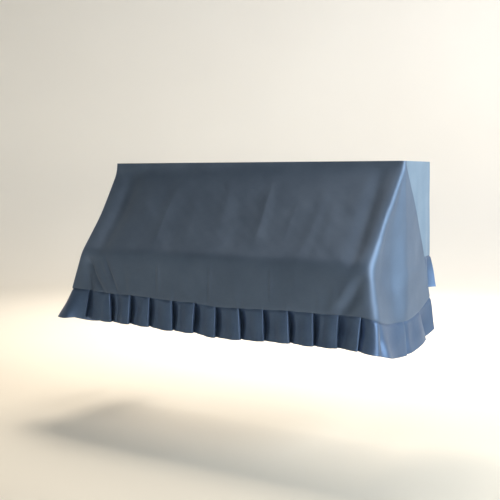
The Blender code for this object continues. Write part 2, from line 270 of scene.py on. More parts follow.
@dataclass(frozen=True)
class Satin:
    """Polyester satin, five-end weave: long warp floats give a soft, broad, silky highlight.

    The floats throw light back in the cloth's own blue, not in white, so the surface is drawn as
    part metal: pale blue where it faces the side lights and slate grey in front.
    The real threads are 0.15 mm apart. They are drawn about six times as coarse, so that the
    weave still shows in a close view.
    """

    name: str
    colour: str
    deep: str
    roughness: float = 0.48
    thread: float = 0.0009
    float_length: float = 0.007
    mottle: float = 0.16
    crumple: float = 0.035

    def material(self) -> bpy.types.Material:
        """Build the satin's node tree.

        Returns:
            The material.
        """
        material, tree, shader = new_surface(self.name)
        flat = add_node(tree, "ShaderNodeUVMap", {"uv_map": "flat"}).outputs["UV"]
        warp = self._noise(tree, flat, (1 / self.thread, 1 / self.float_length), 2.0)
        weft = self._noise(tree, flat, (1 / (4 * self.float_length), 1 / (1.6 * self.thread)), 1.0)
        cloudy = self._noise(tree, flat, (1 / self.mottle, 1 / self.mottle), 3.0)
        threads = add_node(
            tree, "ShaderNodeMath", {"operation": "MULTIPLY_ADD"}, i0=weft, i1=0.45, i2=warp
        ).outputs[0]
        tone = add_node(
            tree, "ShaderNodeMath", {"operation": "MULTIPLY_ADD"}, i0=threads, i1=0.42, i2=cloudy
        ).outputs[0]
        share = add_node(
            tree, "ShaderNodeMapRange", {}, Value=tone, From_Min=0.55, From_Max=1.0
        ).outputs["Result"]
        colour_between(tree, share, self.deep, self.colour)
        gloss = add_node(
            tree, "ShaderNodeMapRange", {}, Value=threads, From_Min=0.3, From_Max=1.1,
            To_Min=self.roughness + 0.05, To_Max=self.roughness - 0.04,
        ).outputs["Result"]
        tree.links.new(gloss, shader.inputs["Roughness"])
        crumple = self._noise(tree, flat, (1 / self.crumple, 1 / (1.5 * self.crumple)), 2.0)
        wrinkles = add_node(
            tree, "ShaderNodeBump", {}, Strength=0.35, Distance=0.0016, Height=crumple
        ).outputs["Normal"]
        weave = add_node(
            tree, "ShaderNodeBump", {}, Strength=0.30, Distance=0.00022, Height=threads, Normal=wrinkles
        ).outputs["Normal"]
        tree.links.new(weave, shader.inputs["Normal"])
        shader.inputs["Metallic"].default_value = 0.55
        shader.inputs["IOR"].default_value = 1.50
        shader.inputs["Sheen Weight"].default_value = 0.10
        shader.inputs["Sheen Roughness"].default_value = 0.45
        shader.inputs["Sheen Tint"].default_value = linear("#9fb4cc")
        return material

    @staticmethod
    def _noise(
        tree: bpy.types.NodeTree, flat: bpy.types.NodeSocket, scale: tuple[float, float], detail: float
    ) -> bpy.types.NodeSocket:
        """Noise on the cloth's flat coordinates, stretched by a scale across and along.

        Args:
            tree: the material's node tree.
            flat: the flat coordinates.
            scale: waves a metre across and along.
            detail: the noise's detail.

        Returns:
            The noise, about 0.5 in the middle.
        """
        placed = add_node(tree, "ShaderNodeMapping", {}, Vector=flat, Scale=(scale[0], scale[1], 1.0))
        noise = add_node(
            tree, "ShaderNodeTexNoise", {}, Vector=placed.outputs["Vector"], Scale=1.0, Detail=detail
        )
        return noise.outputs["Fac"]


SATIN_TOP = Satin("satin_lid_panel", colour="#6a7c96", deep="#60718a")
SATIN_FRONT = Satin("satin_front_panel", colour="#677b97", deep="#5c6f8a")
# The flap is the same cloth as the front, painted paler: the extra brightness is painted light, standing
# in for the side lights' gleam on the flap.
SATIN_FLAP_PAINTED_LIGHTER = Satin("satin_side_flap_painted_lighter", colour="#8aa4bf", deep="#7f99b5", mottle=0.12)
# The frill is the same cloth as the front, painted darker and bluer: painted shade, for its pleats'
# recesses and its place under the panel.
SATIN_FRILL_PAINTED_DARKER = Satin(
    "satin_frill", colour="#5b7396", deep="#4f6587", roughness=0.41, mottle=0.10, crumple=0.028
)


@dataclass(frozen=True)
class Thread:
    """Spun polyester sewing thread, a shade lighter than the cloth, with a dry finish."""

    name: str = "polyester_sewing_thread"
    colour: str = "#6f8db0"
    deep: str = "#587799"
    twist: float = 0.0006

    def material(self) -> bpy.types.Material:
        """Build the thread's material, with its twist as fine slanting bands.

        Returns:
            The material.
        """
        material, tree, shader = new_surface(self.name)
        place = add_node(tree, "ShaderNodeTexCoord").outputs["Object"]
        bands = add_node(
            tree, "ShaderNodeTexWave", {"bands_direction": "DIAGONAL"}, Vector=place,
            Scale=0.3 / self.twist, Distortion=1.0,
        ).outputs["Fac"]
        colour_between(tree, bands, self.deep, self.colour)
        shader.inputs["Roughness"].default_value = 0.62
        return material


@dataclass(frozen=True)
class Unevenness:
    """The small waves that no handled cloth is without: a sum of long, low, random waves."""

    seed: int
    length: float
    height: float
    count: int = 28

    def at(self, across: np.ndarray, down: np.ndarray) -> np.ndarray:
        """Height of the waves over flat coordinates.

        Args:
            across: metres across the cloth.
            down: metres down it.

        Returns:
            The height in metres, with the shape of the inputs.
        """
        draw = np.random.default_rng(self.seed)
        total = np.zeros(np.broadcast(across, down).shape)
        for _ in range(self.count):
            angle = draw.uniform(0, math.tau)
            wave = self.length * draw.uniform(0.6, 1.8)
            phase = draw.uniform(0, math.tau)
            run = across * math.cos(angle) + down * math.sin(angle)
            total += np.cos(math.tau * run / wave + phase)
        return total * self.height / math.sqrt(self.count / 2)


def crease_lift(across: np.ndarray, down: np.ndarray, creases: tuple[Crease, ...]) -> np.ndarray:
    """How far a table of creases lifts each point of a face.

    Args:
        across: metres across the face.
        down: metres down it.
        creases: the ridges and troughs.

    Returns:
        The lift in metres, with the shape of the inputs.
    """
    steps = 14
    total = np.zeros(across.shape)
    for crease in creases:
        head = np.array([crease.head_across, crease.head_down])
        foot = np.array([crease.foot_across, crease.foot_down])
        middle = (head + foot) / 2 + np.array([crease.bow, 0.0])
        reach = 3.2 * crease.width
        low = np.minimum(np.minimum(head, foot), middle) - reach
        high = np.maximum(np.maximum(head, foot), middle) + reach
        near = (across > low[0]) & (across < high[0]) & (down > low[1]) & (down < high[1])
        if not near.any():
            continue
        x, y = across[near], down[near]
        best = np.full(x.shape, np.inf)
        along = np.zeros(x.shape)
        share = np.linspace(0.0, 1.0, steps + 1)[:, None]
        line = (1 - share) ** 2 * head + 2 * share * (1 - share) * (2 * middle - (head + foot) / 2)
        line = line + share**2 * foot
        for i in range(steps):
            run = line[i + 1] - line[i]
            t = np.clip(((x - line[i, 0]) * run[0] + (y - line[i, 1]) * run[1]) / (run @ run), 0, 1)
            distance = np.hypot(x - line[i, 0] - t * run[0], y - line[i, 1] - t * run[1])
            closer = distance < best
            best = np.where(closer, distance, best)
            along = np.where(closer, (i + t) / steps, along)
        fade = np.sin(math.pi * (0.04 + 0.92 * along)) ** 0.7
        total[near] += crease.lift * fade * np.exp(-((best / crease.width) ** 2))
    return total


@dataclass
class Sheet:
    """A sheet of cloth as rows of points of its middle surface, top row first.

    Columns run so that the outer face looks outwards: from left to right as it is seen.
    """

    points: np.ndarray
    flat: np.ndarray
    thickness: np.ndarray | float = SIZES.cloth

    def normals(self) -> np.ndarray:
        """The outward unit normal at each point.

        Returns:
            Unit vectors, in the grid's shape.
        """
        down = np.gradient(self.points, axis=0)
        across = np.gradient(self.points, axis=1)
        normal = np.cross(down, across)
        length = np.linalg.norm(normal, axis=2, keepdims=True)
        return normal / np.maximum(length, 1e-12)

    def lifted(self, lift: np.ndarray) -> "Sheet":
        """The sheet with each point moved outwards by its own lift."""
        return Sheet(self.points + self.normals() * lift[..., None], self.flat, self.thickness)

    def outer(self, row: int, proud: float) -> np.ndarray:
        """Points just proud of the outer face along one row."""
        half = np.broadcast_to(np.asarray(self.thickness), self.points.shape[:2]) / 2
        return self.points[row] + self.normals()[row] * (half[row] + proud)[:, None]

    def object(self, name: str, material: bpy.types.Material) -> bpy.types.Object:
        """Make the closed mesh: both faces and the rim, with the flat coordinates as its UV map.

        Args:
            name: the piece's name.
            material: the finish of both faces.

        Returns:
            The new object.
        """
        rows, columns = self.points.shape[:2]
        half = np.broadcast_to(np.asarray(self.thickness), (rows, columns))[..., None] / 2
        normal = self.normals()
        layers = np.concatenate(
            [(self.points + normal * half).reshape(-1, 3), (self.points - normal * half).reshape(-1, 3)]
        )
        count = rows * columns
        index = np.arange(count).reshape(rows, columns)
        a, b = index[:-1, :-1].ravel(), index[1:, :-1].ravel()
        c, d = index[1:, 1:].ravel(), index[:-1, 1:].ravel()
        outer = np.stack([a, b, c, d], axis=1)
        inner = np.stack([d, c, b, a], axis=1) + count
        border = np.concatenate(
            [index[0, ::-1], index[1:, 0], index[-1, 1:], index[-2:0:-1, -1]]
        )
        after = np.roll(border, -1)
        rim = np.stack([border, border + count, after + count, after], axis=1)
        faces = np.concatenate([outer, inner, rim])
        mesh = bpy.data.meshes.new(name)
        mesh.from_pydata(layers.tolist(), [], faces.tolist())
        mesh.materials.append(material)
        uv_layer = mesh.uv_layers.new(name="flat")
        loop_points = np.empty(len(mesh.loops), dtype=np.int32)
        mesh.loops.foreach_get("vertex_index", loop_points)
        flat = np.concatenate([self.flat.reshape(-1, 2)] * 2)
        uv_layer.data.foreach_set("uv", flat[loop_points].astype(np.float32).ravel())
        mesh.shade_smooth()
        mesh.set_sharp_from_angle(angle=math.radians(62))
        mesh.update()
        return link_object(name, mesh)


def hem_thickness(distance: np.ndarray) -> np.ndarray:
    """Cloth thickness at a distance from a turned hem's edge: thicker over the turned band."""
    band = smooth((SIZES.hem_band - distance) / 0.0025 + 0.5)
    return mix(SIZES.cloth, SIZES.hem_cloth, band)


class Strip:
    """The line that a frill hangs from, read by the distance along it."""

    def __init__(self, points: np.ndarray) -> None:
        """Measure the line.

        Args:
            points: its points, in order.
        """
        self.points = np.asarray(points)
        steps = np.linalg.norm(np.diff(self.points, axis=0), axis=1)
        self.marks = np.concatenate([[0.0], np.cumsum(steps)])
        self.length = float(self.marks[-1])

    def at(self, along: np.ndarray) -> np.ndarray:
        """Points at distances along the line."""
        return np.stack([np.interp(along, self.marks, self.points[:, k]) for k in range(3)], axis=-1)

    def outward(self, along: np.ndarray, reach: float = 0.014) -> np.ndarray:
        """Level directions away from the piano, smoothed over a short length.

        Args:
            along: distances along the line.
            reach: how far to either side the line is looked at.

        Returns:
            A unit vector for each distance.
        """
        ahead = self.at(np.minimum(along + reach, self.length))
        run = ahead - self.at(np.maximum(along - reach, 0.0))
        length = np.hypot(run[..., 0], run[..., 1])
        return np.stack([run[..., 1] / length, -run[..., 0] / length, np.zeros_like(length)], axis=-1)

    def where(self, axis: int, value: float, low: float = 0.0, high: float = 1.0) -> float:
        """Distance along the line, between two shares of it, where an axis has a value.

        Args:
            axis: 0 for X or 1 for Y.
            value: the coordinate that is looked for.
            low: the share of the line where the search starts.
            high: the share where it ends.

        Returns:
            The distance.
        """
        inside = (self.marks >= low * self.length) & (self.marks <= high * self.length)
        values, marks = self.points[inside, axis], self.marks[inside]
        order = np.argsort(values)
        return float(np.interp(value, values[order], marks[order]))


# A pleat's flank at the hem: how far ahead of the fold it bulges, and how far it has fallen back.
FLANK = ((0.50, 0.05), (0.86, 0.16), (1.0, 0.33), (0.90, 0.60), (0.40, 0.84), (-0.3, 1.0))


@dataclass
class Frill:
    """A knife-pleated strip. Every folded edge points onwards along it, like fanned cards."""

    name: str
    node: str
    slot: str
    strip: Strip
    folds: list[Fold]
    heights: np.ndarray
    corners: tuple[tuple[float, float, float], ...] = ()
    end_flares: tuple[float, float] = (0.026, 0.016)
    seed: int = 3
    tuck: float = 0.030
    layer: float = 0.0033
    start_share: float = -0.60
    loop_share: float = 1.25
    loop_ahead: float = 0.0075
    steep: float = 0.040
    plateau: float = 0.62
    roll: float = 0.20
    pressed: float = 0.46
    opening: float = 0.90
    hem_closes: float = 0.42
    inner_turn: float = 0.0022
    puff: float = 0.0040
    seam_depth: float = 0.0014
    seam: float = 0.0007
    allowance: float = 0.008
    allowance_depth: float = 0.0008
    wave_length: float = 0.16
    wave_height: float = 0.0016
    panel_steps: int = 18
    turn_steps: int = 6
    rows: int = 22

    def columns(self) -> dict[str, np.ndarray]:
        """Each column's place at the seam and at the hem.

        Returns:
            Arrays: along and depth at the seam, along, stand and the folded edges' stand at the
            hem, and the distance along the unfolded cloth.
        """
        seam: list[tuple[float, float]] = []
        hem: list[tuple[float, float, float]] = []
        start = Fold(0.0, self.end_flares[0], 0.0)
        ends = self.folds + [Fold(self.strip.length, self.end_flares[1], 0.0)]
        behind = start.flare
        for number, fold in enumerate(ends):
            first, last = number == 0, number == len(self.folds)
            crest = start.flare if first else ends[number - 1].flare
            self._panel(seam, hem, start, fold, (behind, crest), (first, last))
            if not last:
                behind = self._turns(seam, hem, fold)
                start = Fold(fold.along, self.start_share * fold.flare, fold.lean)
        seam_xy, hem_xy = np.array(seam), np.array(hem)
        steps = np.hypot(*np.diff((seam_xy + hem_xy[:, :2]) / 2, axis=0).T)
        return {
            "seam_along": seam_xy[:, 0],
            "depth": seam_xy[:, 1],
            "hem_along": hem_xy[:, 0],
            "stand": hem_xy[:, 1],
            "crest": hem_xy[:, 2],
            "flat": np.concatenate([[0.0], np.cumsum(steps)]),
        }

    def _panel(
        self, seam: list[tuple[float, float]], hem: list[tuple[float, float, float]], start: Fold,
        fold: Fold, behind: tuple[float, float], at_end: tuple[bool, bool],
    ) -> None:
        """Add the run from under the last folded edge to the next one.

        At the hem it rises steeply out of the pleat, runs level, swells and rolls over to the fold.

        Args:
            seam: the columns at the seam, which are added to.
            hem: the columns at the hem, which are added to.
            start: where the run comes out from under the last fold.
            fold: the fold that it runs to.
            behind: how far out the last layer stands at the hem, and the last fold's edge.
            at_end: whether it is the strip's first run, and its last.
        """
        (under, crest), (first, last) = behind, at_end
        begin = start.along if first else start.along - self.tuck
        width = fold.along - start.along
        for step in range(self.panel_steps + 1):
            along = mix(begin, fold.along, (step / self.panel_steps) ** 0.85)
            share = (along - start.along) / width
            depth = 0.0 if first else 2 * self.layer * (1 - max(0.0, share)) ** 2.6
            hidden = smooth(1 + share * width / self.tuck)
            low = start.flare if first else mix(under, start.flare, hidden)
            rise = self.plateau * smooth(share * width / self.steep)
            rise += (1 + self.roll - self.plateau) * smooth((share - 0.36) / 0.44)
            rise -= self.roll * smooth((share - 0.82) / 0.18)
            arch = max(0.0, share) if last else float(rise)
            lean = mix(start.lean, fold.lean, max(0.0, share))
            seam.append((along, depth))
            crest_here = mix(crest, fold.flare, max(0.0, share))
            hem.append((along + lean, mix(low, fold.flare, arch), crest_here))

    def _turns(
        self, seam: list[tuple[float, float]], hem: list[tuple[float, float, float]], fold: Fold
    ) -> float:
        """Add a pleat's pressed edge, the flank and layer behind it, and the turn under it.

        At the seam the layers lie flat. At the hem the flank swings open to the side.

        Args:
            seam: the columns at the seam, which are added to.
            hem: the columns at the hem, which are added to.
            fold: the pressed edge.

        Returns:
            How far the cloth stands out at the hem after the inner turn.
        """
        tight, depth = self.layer / 2, self.loop_share * fold.flare
        ahead = self.loop_ahead * min(1.0, fold.flare / 0.022)
        top = hem[-1][1]
        for step, (side, fall) in enumerate(FLANK, start=1):
            angle = math.pi * (0.5 - step / len(FLANK))
            seam.append((fold.along + tight * math.cos(angle), tight * (1 - math.sin(angle))))
            hem.append((fold.along + fold.lean + ahead * side, top - depth * fall, fold.flare))
        behind = top - depth
        for share in (0.35, 0.7):
            seam.append((fold.along - self.tuck * share, self.layer))
            hem.append((fold.along + fold.lean - self.tuck * share, behind, fold.flare))
        inner = self.inner_turn
        for step in range(self.turn_steps):
            angle = math.pi * (0.5 - step / self.turn_steps)
            back, out = math.cos(angle), 1 - math.sin(angle)
            seam.append((fold.along - self.tuck - tight * back, self.layer + tight * out))
            under = fold.along + fold.lean * 0.6 - self.tuck - inner * back
            hem.append((under, behind - inner * out, fold.flare))
        return behind - 2 * inner

    def sheet(self) -> Sheet:
        """The pleated cloth, from its seam allowance down to its hem.

        Returns:
            The sheet.
        """
        c = self.columns()
        height = np.interp(c["seam_along"], self.strip.marks, self.heights)
        more = sum(
            flare * np.exp(-(((c["seam_along"] - along) / reach) ** 2))
            for along, flare, reach in self.corners
        ) if self.corners else np.zeros_like(height)
        waves = Unevenness(self.seed, self.wave_length, self.wave_height)
        falls = np.concatenate([np.linspace(0.0, 1.0, self.rows), [0.015, 0.03, 0.065]])
        band = 1 - SIZES.hem_band / float(np.mean(height))
        falls = np.unique(np.concatenate([[-1.0], falls, [band - 0.01, band + 0.01]]))
        grid, flat, thick = [], [], []
        for fall in falls:
            part = max(0.0, fall)
            along = np.clip(mix(c["seam_along"], c["hem_along"], part), 0.0, self.strip.length)
            early, late = part**self.pressed, part**self.opening
            depth = c["depth"] * (1 - early)
            puff = self.puff * smooth(part * 12) * (1 - part) - self.seam_depth
            sunk = early * (1 - self.hem_closes * smooth((part - 0.45) / 0.55))
            out = (c["crest"] + more) * late + (c["stand"] - c["crest"]) * sunk - depth + puff
            drop = self.seam + height * part
            if fall < 0:
                out = out - self.allowance_depth
                drop = np.full_like(height, -self.allowance)
            out = out + waves.at(c["flat"], height * part) * part
            point = self.strip.at(along) + self.strip.outward(along) * out[:, None]
            point[:, 2] -= drop
            grid.append(point)
            flat.append(np.stack([c["flat"], np.maximum(drop, -self.allowance)], axis=1))
            thick.append(hem_thickness(height * (1 - part)))
        return Sheet(np.array(grid), np.array(flat), np.array(thick))

    def flat_length(self) -> float:
        """Length of the strip before it was pleated, along all its folds at half its height."""
        return float(self.columns()["flat"][-1])

    def build(self, stitcher: "HemStitches") -> bpy.types.Object:
        """Build the frill and its hem stitches.

        Args:
            stitcher: what sews the hem.

        Returns:
            The piece.
        """
        sheet = self.sheet()
        piece = sheet.object(self.name, SATIN_FRILL_PAINTED_DARKER.material())
        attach(piece, "root")
        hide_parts(self.node)
        self.flat_length()
        row = int(np.argmin(np.abs(sheet.flat[:, 0, 1] - (sheet.flat[-1, 0, 1] - stitcher.inset))))
        stitcher.sew(self.name + "_hem_stitches", sheet.outer(row, stitcher.gauge * 0.3))
        log.info("%s: %d pleats, %.2f m of cloth", self.name, len(self.folds), self.flat_length())
        return piece


@dataclass
class HemStitches:
    """Machine stitches along a hem, placed on a path by Geometry Nodes."""

    pitch: float = 0.0034
    length: float = 0.0025
    gauge: float = 0.0005
    inset: float = 0.0048
    sides: int = 5
    seed: int = 5
    tree: bpy.types.NodeTree | None = field(default=None, repr=False)
    thread: bpy.types.Material | None = field(default=None, repr=False)

    def _tree(self) -> bpy.types.NodeTree:
        """Build the node tree once: path to points, a short thread on each, realized.

        Returns:
            The tree.
        """
        if self.tree is not None:
            return self.tree
        self.thread = Thread().material()
        tree = bpy.data.node_groups.new("machine_stitches", "GeometryNodeTree")
        tree.interface.new_socket("Path", in_out="INPUT", socket_type="NodeSocketGeometry")
        add_inputs(tree, {"Pitch": self.pitch, "Length": self.length, "Gauge": self.gauge}, self.seed)
        tree.interface.new_socket("Stitches", in_out="OUTPUT", socket_type="NodeSocketGeometry")
        given = add_node(tree, "NodeGroupInput").outputs
        curve = add_node(tree, "GeometryNodeMeshToCurve", {}, Mesh=given["Path"]).outputs["Curve"]
        spaced = add_node(
            tree, "GeometryNodeResampleCurve", {"mode": "LENGTH"}, Curve=curve, Length=given["Pitch"]
        ).outputs["Curve"]
        tangent = add_node(tree, "GeometryNodeInputTangent").outputs["Tangent"]
        turned = add_node(
            tree, "FunctionNodeAlignRotationToVector", {"axis": "Z"}, Vector=tangent
        ).outputs["Rotation"]
        shape = add_node(
            tree, "GeometryNodeMeshCylinder", {"fill_type": "TRIANGLE_FAN"}, Vertices=self.sides,
            Radius=0.5, Depth=1.0,
        ).outputs["Mesh"]
        jitter = add_node(
            tree, "FunctionNodeRandomValue", {"data_type": "FLOAT"}, i2=0.9, i3=1.08, Seed=given["Seed"]
        ).outputs[1]
        long = add_node(
            tree, "ShaderNodeMath", {"operation": "MULTIPLY"}, i0=given["Length"], i1=jitter
        ).outputs[0]
        scale = add_node(
            tree, "ShaderNodeCombineXYZ", {}, X=given["Gauge"], Y=given["Gauge"], Z=long
        ).outputs[0]
        placed = add_node(
            tree, "GeometryNodeInstanceOnPoints", {}, Points=spaced, Instance=shape, Rotation=turned,
            Scale=scale,
        ).outputs["Instances"]
        real = add_node(tree, "GeometryNodeRealizeInstances", {}, Geometry=placed).outputs["Geometry"]
        dressed = add_node(tree, "GeometryNodeSetMaterial", {}, Geometry=real, Material=self.thread)
        add_node(tree, "NodeGroupOutput", {}, Stitches=dressed.outputs["Geometry"])
        self.tree = tree
        return tree

    def sew(self, name: str, path: np.ndarray) -> bpy.types.Object:
        """Sew a row of stitches along a path.

        Args:
            name: the row's name.
            path: points on the cloth's outer face.

        Returns:
            The stitches, as one plain mesh.
        """
        line = bpy.data.meshes.new(name + "_path")
        line.from_pydata(path.tolist(), [(i, i + 1) for i in range(len(path) - 1)], [])
        piece = link_object(name, line)
        modifier = piece.modifiers.new("stitches", "NODES")
        modifier.node_group = self._tree()
        sockets = {item.name: item.identifier for item in self._tree().interface.items_tree}
        modifier[sockets["Pitch"]] = self.pitch
        modifier[sockets["Length"]] = self.length
        modifier[sockets["Gauge"]] = self.gauge
        plain(piece)
        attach(piece, "root")
        log.info("%s: %d faces", name, len(piece.data.polygons))
        return piece


def plain(piece: bpy.types.Object) -> None:
    """Turn a piece's evaluated result into its own plain mesh and remove its modifiers.

    Args:
        piece: the piece, which keeps its name and place.
    """
    bpy.context.view_layer.update()
    evaluated = piece.evaluated_get(bpy.context.evaluated_depsgraph_get())
    mesh = bpy.data.meshes.new_from_object(evaluated)
    mesh.name = piece.name
    piece.modifiers.clear()
    piece.data = mesh
    mesh.shade_smooth()
    mesh.set_sharp_from_angle(angle=math.radians(50))


@dataclass
class FrontPanel:
    """The sloping front, its fall below the key bed and its two wraps, cut in one piece."""

    stations: tuple[Station, ...] = (
        Station(
            left=SIZES.half + SIZES.lap, right=SIZES.half + SIZES.lap, out=SIZES.skin,
            down_left=-SIZES.node_cloth, down_right=-SIZES.node_cloth,
        ),
        Station(left=0.769, right=0.769, out=0.008, down_left=0.045, down_right=0.024),
        Station(left=0.752, right=0.748, out=0.302, down_left=0.425, down_right=0.424),
        Station(left=0.815, right=0.777, out=0.308, down_left=0.605, down_right=0.624),
    )
    edges: tuple[WrapEdge, ...] = (
        WrapEdge(
            back=0.016, down=-SIZES.node_cloth, edge_x=SIZES.half + SIZES.lap,
            fold_x=SIZES.half + SIZES.lap, ridge_round=0.008,
        ),
        WrapEdge(back=0.022, down=0.030, edge_x=0.770, fold_x=0.770, ridge_round=0.014),
        WrapEdge(back=0.234, down=0.416, edge_x=0.7800, fold_x=0.7900, ridge_round=0.032),
        WrapEdge(back=0.288, down=0.604, edge_x=0.7930, fold_x=0.8000, ridge_round=0.034),
    )
    lengths: tuple[float, float, float] = (0.046, 0.49, 0.19)
    lip_round: float = 0.030
    arm_round: float = 0.042
    left_ridge_share: float = 0.45
    right_front_share: float = 2.30
    right_wrap_share: float = 1.70
    right_ridge_push: float = 0.002
    seam_roll: float = 0.0012
    step_start: float = 0.100
    step_end: float = 0.004
    cheek_inset: float = 0.007
    flap_clear: float = 0.0050
    flap_stand: float = 0.0095
    flap_drop: float = 0.419
    flap_frill_clear: float = 0.0075
    held_softly: float = 0.0016
    left_crease_shift: float = 0.018
    long_waves: Unevenness = Unevenness(seed=11, length=0.22, height=0.0009)
    short_waves: Unevenness = Unevenness(seed=12, length=0.075, height=0.0003)
    pucker_seed: int = 21
    flat_size: tuple[float, float] = (2.75, 0.76)
    flat_middle: tuple[float, float] = (1.57, 0.70)
    flat_sector: tuple[float, float] = (0.66, 54.0)
    edge_bow: float = 0.010
    dip: float = 0.82
    sags: tuple[float, float, float] = (0.013, 0.010, 0.001)
    front_columns: int = 284
    wrap_columns: int = 44
    ridge_steps: int = 9
    pleats: tuple[Pleat, ...] = (
        Pleat(place=-0.706, flare=0.018, lean=-0.022, seam=0.608),
        Pleat(place=-0.572, flare=0.027, lean=0.014, seam=0.615),
        Pleat(place=-0.449, flare=0.028, lean=0.000, seam=0.614),
        Pleat(place=-0.339, flare=0.024, lean=0.000, seam=0.617),
        Pleat(place=-0.210, flare=0.027, lean=0.006, seam=0.622),
        Pleat(place=-0.086, flare=0.025, lean=-0.005, seam=0.622),
        Pleat(place=0.024, flare=0.023, lean=0.001, seam=0.631),
        Pleat(place=0.144, flare=0.027, lean=0.016, seam=0.627),
        Pleat(place=0.263, flare=0.024, lean=0.009, seam=0.622),
        Pleat(place=0.382, flare=0.026, lean=0.012, seam=0.618),
        Pleat(place=0.499, flare=0.027, lean=0.005, seam=0.618),
        Pleat(place=0.612, flare=0.024, lean=-0.008, seam=0.616),
        Pleat(place=0.709, flare=0.022, lean=-0.009, seam=0.615),
    )
    slope_creases: tuple[Crease, ...] = (
        Crease(0.668, 0.040, 0.660, 0.430, 0.004, 0.034, -0.0110),
        Crease(-0.660, 0.020, -0.652, 0.450, 0.010, 0.054, -0.0190),
        Crease(-0.342, 0.110, -0.332, 0.405, -0.014, 0.034, 0.0026),
        Crease(-0.346, 0.130, -0.338, 0.400, -0.012, 0.013, 0.0009),
        Crease(-0.046, 0.060, -0.016, 0.412, -0.004, 0.036, 0.0023),
        Crease(0.054, 0.270, -0.016, 0.412, 0.004, 0.012, 0.0009),
        Crease(0.168, 0.085, 0.180, 0.390, 0.002, 0.030, 0.0032),
        Crease(0.166, 0.100, 0.178, 0.330, 0.002, 0.012, 0.0009),
        Crease(0.321, 0.190, 0.324, 0.340, 0.000, 0.016, 0.0012),
        Crease(0.442, 0.120, 0.424, 0.405, 0.002, 0.026, 0.0024),
        Crease(-0.505, 0.120, -0.486, 0.290, 0.004, 0.034, 0.0020),
        Crease(-0.220, 0.120, -0.168, 0.395, -0.004, 0.030, 0.0017),
        Crease(0.514, 0.140, 0.492, 0.400, 0.006, 0.032, 0.0016),
        Crease(-0.094, 0.100, -0.067, 0.134, 0.000, 0.007, -0.0007),
        Crease(0.080, 0.240, 0.066, 0.405, 0.000, 0.040, -0.0022),
        Crease(-0.420, 0.150, -0.415, 0.380, 0.000, 0.040, -0.0014),
        Crease(-0.270, 0.200, -0.250, 0.400, 0.000, 0.034, -0.0014),
        Crease(0.600, 0.080, 0.580, 0.400, 0.000, 0.036, 0.0014),
    )
    fall_creases: tuple[Crease, ...] = (
        Crease(-0.706, 0.446, -0.700, 0.614, 0.000, 0.032, -0.0190),
        Crease(-0.716, 0.452, -0.602, 0.612, -0.012, 0.013, -0.0125),
        Crease(-0.634, 0.462, -0.546, 0.600, -0.012, 0.010, -0.0036),
        Crease(-0.604, 0.446, -0.521, 0.612, -0.006, 0.012, -0.0115),
        Crease(-0.718, 0.526, -0.692, 0.606, 0.000, 0.010, -0.0060),
        Crease(-0.490, 0.480, -0.470, 0.606, -0.004, 0.018, -0.0024),
        Crease(-0.288, 0.450, -0.284, 0.606, 0.000, 0.009, 0.0028),
        Crease(-0.303, 0.460, -0.300, 0.606, 0.000, 0.010, -0.0024),
        Crease(-0.004, 0.432, -0.009, 0.618, 0.000, 0.006, 0.0028),
        Crease(-0.016, 0.440, -0.020, 0.618, 0.000, 0.008, -0.0022),
        Crease(0.299, 0.442, 0.300, 0.585, 0.000, 0.006, 0.0028),
        Crease(0.288, 0.450, 0.289, 0.580, 0.000, 0.007, -0.0016),
        Crease(0.416, 0.452, 0.412, 0.520, 0.000, 0.009, 0.0014),
        Crease(-0.219, 0.540, -0.206, 0.618, 0.002, 0.011, 0.0022),
        Crease(0.596, 0.500, 0.584, 0.610, 0.000, 0.013, 0.0030),
        Crease(0.534, 0.540, 0.527, 0.612, 0.000, 0.012, 0.0024),
        Crease(0.712, 0.452, 0.622, 0.616, 0.012, 0.024, -0.0150),
        Crease(0.662, 0.460, 0.580, 0.606, 0.008, 0.020, 0.0040),
        Crease(0.120, 0.520, 0.124, 0.620, 0.000, 0.022, 0.0022),
        Crease(-0.150, 0.500, -0.140, 0.615, 0.000, 0.022, 0.0018),
        Crease(-0.450, 0.500, -0.440, 0.606, 0.000, 0.018, 0.0022),
    )
    wrap_creases: tuple[Crease, ...] = (
        Crease(-0.110, 0.180, -0.160, 0.420, -0.006, 0.034, -0.0050),
        Crease(-0.150, 0.400, -0.120, 0.660, -0.006, 0.036, -0.0050),
        Crease(0.010, 0.120, 0.020, 0.600, 0.000, 0.030, 0.0020),
        Crease(0.150, 0.240, 0.205, 0.660, 0.000, 0.040, -0.0030),
    )

    def _column(self, values: list[float], v: np.ndarray) -> np.ndarray:
        """A station table's column read at v, with its inner bends rounded over real lengths.

        Args:
            values: the column, one value for each station.
            v: the rows' stations.

        Returns:
            The value at each row.
        """
        result = np.interp(v, range(len(values)), values)
        marks = np.concatenate([[0.0], np.cumsum(self.lengths)])
        down = np.interp(v, range(len(marks)), marks)
        for knot, reach in ((1, self.lip_round), (2, self.arm_round)):
            before = (values[knot] - values[knot - 1]) / self.lengths[knot - 1]
            after = (values[knot + 1] - values[knot]) / self.lengths[knot]
            gap = np.abs(down - marks[knot])
            result = result + (after - before) * np.maximum(0.0, reach - gap) ** 2 / (4 * reach)
        return result

    @staticmethod
    def _swell(v: np.ndarray) -> np.ndarray:
        """Rises and falls smoothly over the slope, between its two stations."""
        return np.where((v > 1) & (v < 2), np.sin(math.pi * np.clip(v - 1, 0, 1)), 0.0)

    def ridge(self, v: np.ndarray, side: Side) -> np.ndarray:
        """The ridge at one side, at stations v.

        Args:
            v: the rows' stations.
            side: which ridge.

        Returns:
            A point for each row.
        """
        left = side is Side.LEFT
        half = self._column([s.left if left else s.right for s in self.stations], v)
        out = self._column([s.out for s in self.stations], v)
        down = self._column([s.down_left if left else s.down_right for s in self.stations], v)
        sag = (self.sags[0] if left else self.sags[2]) * self._swell(v)
        return np.stack([side.value * half, SIZES.front - out + 0.8 * sag, -down - 0.6 * sag], axis=-1)

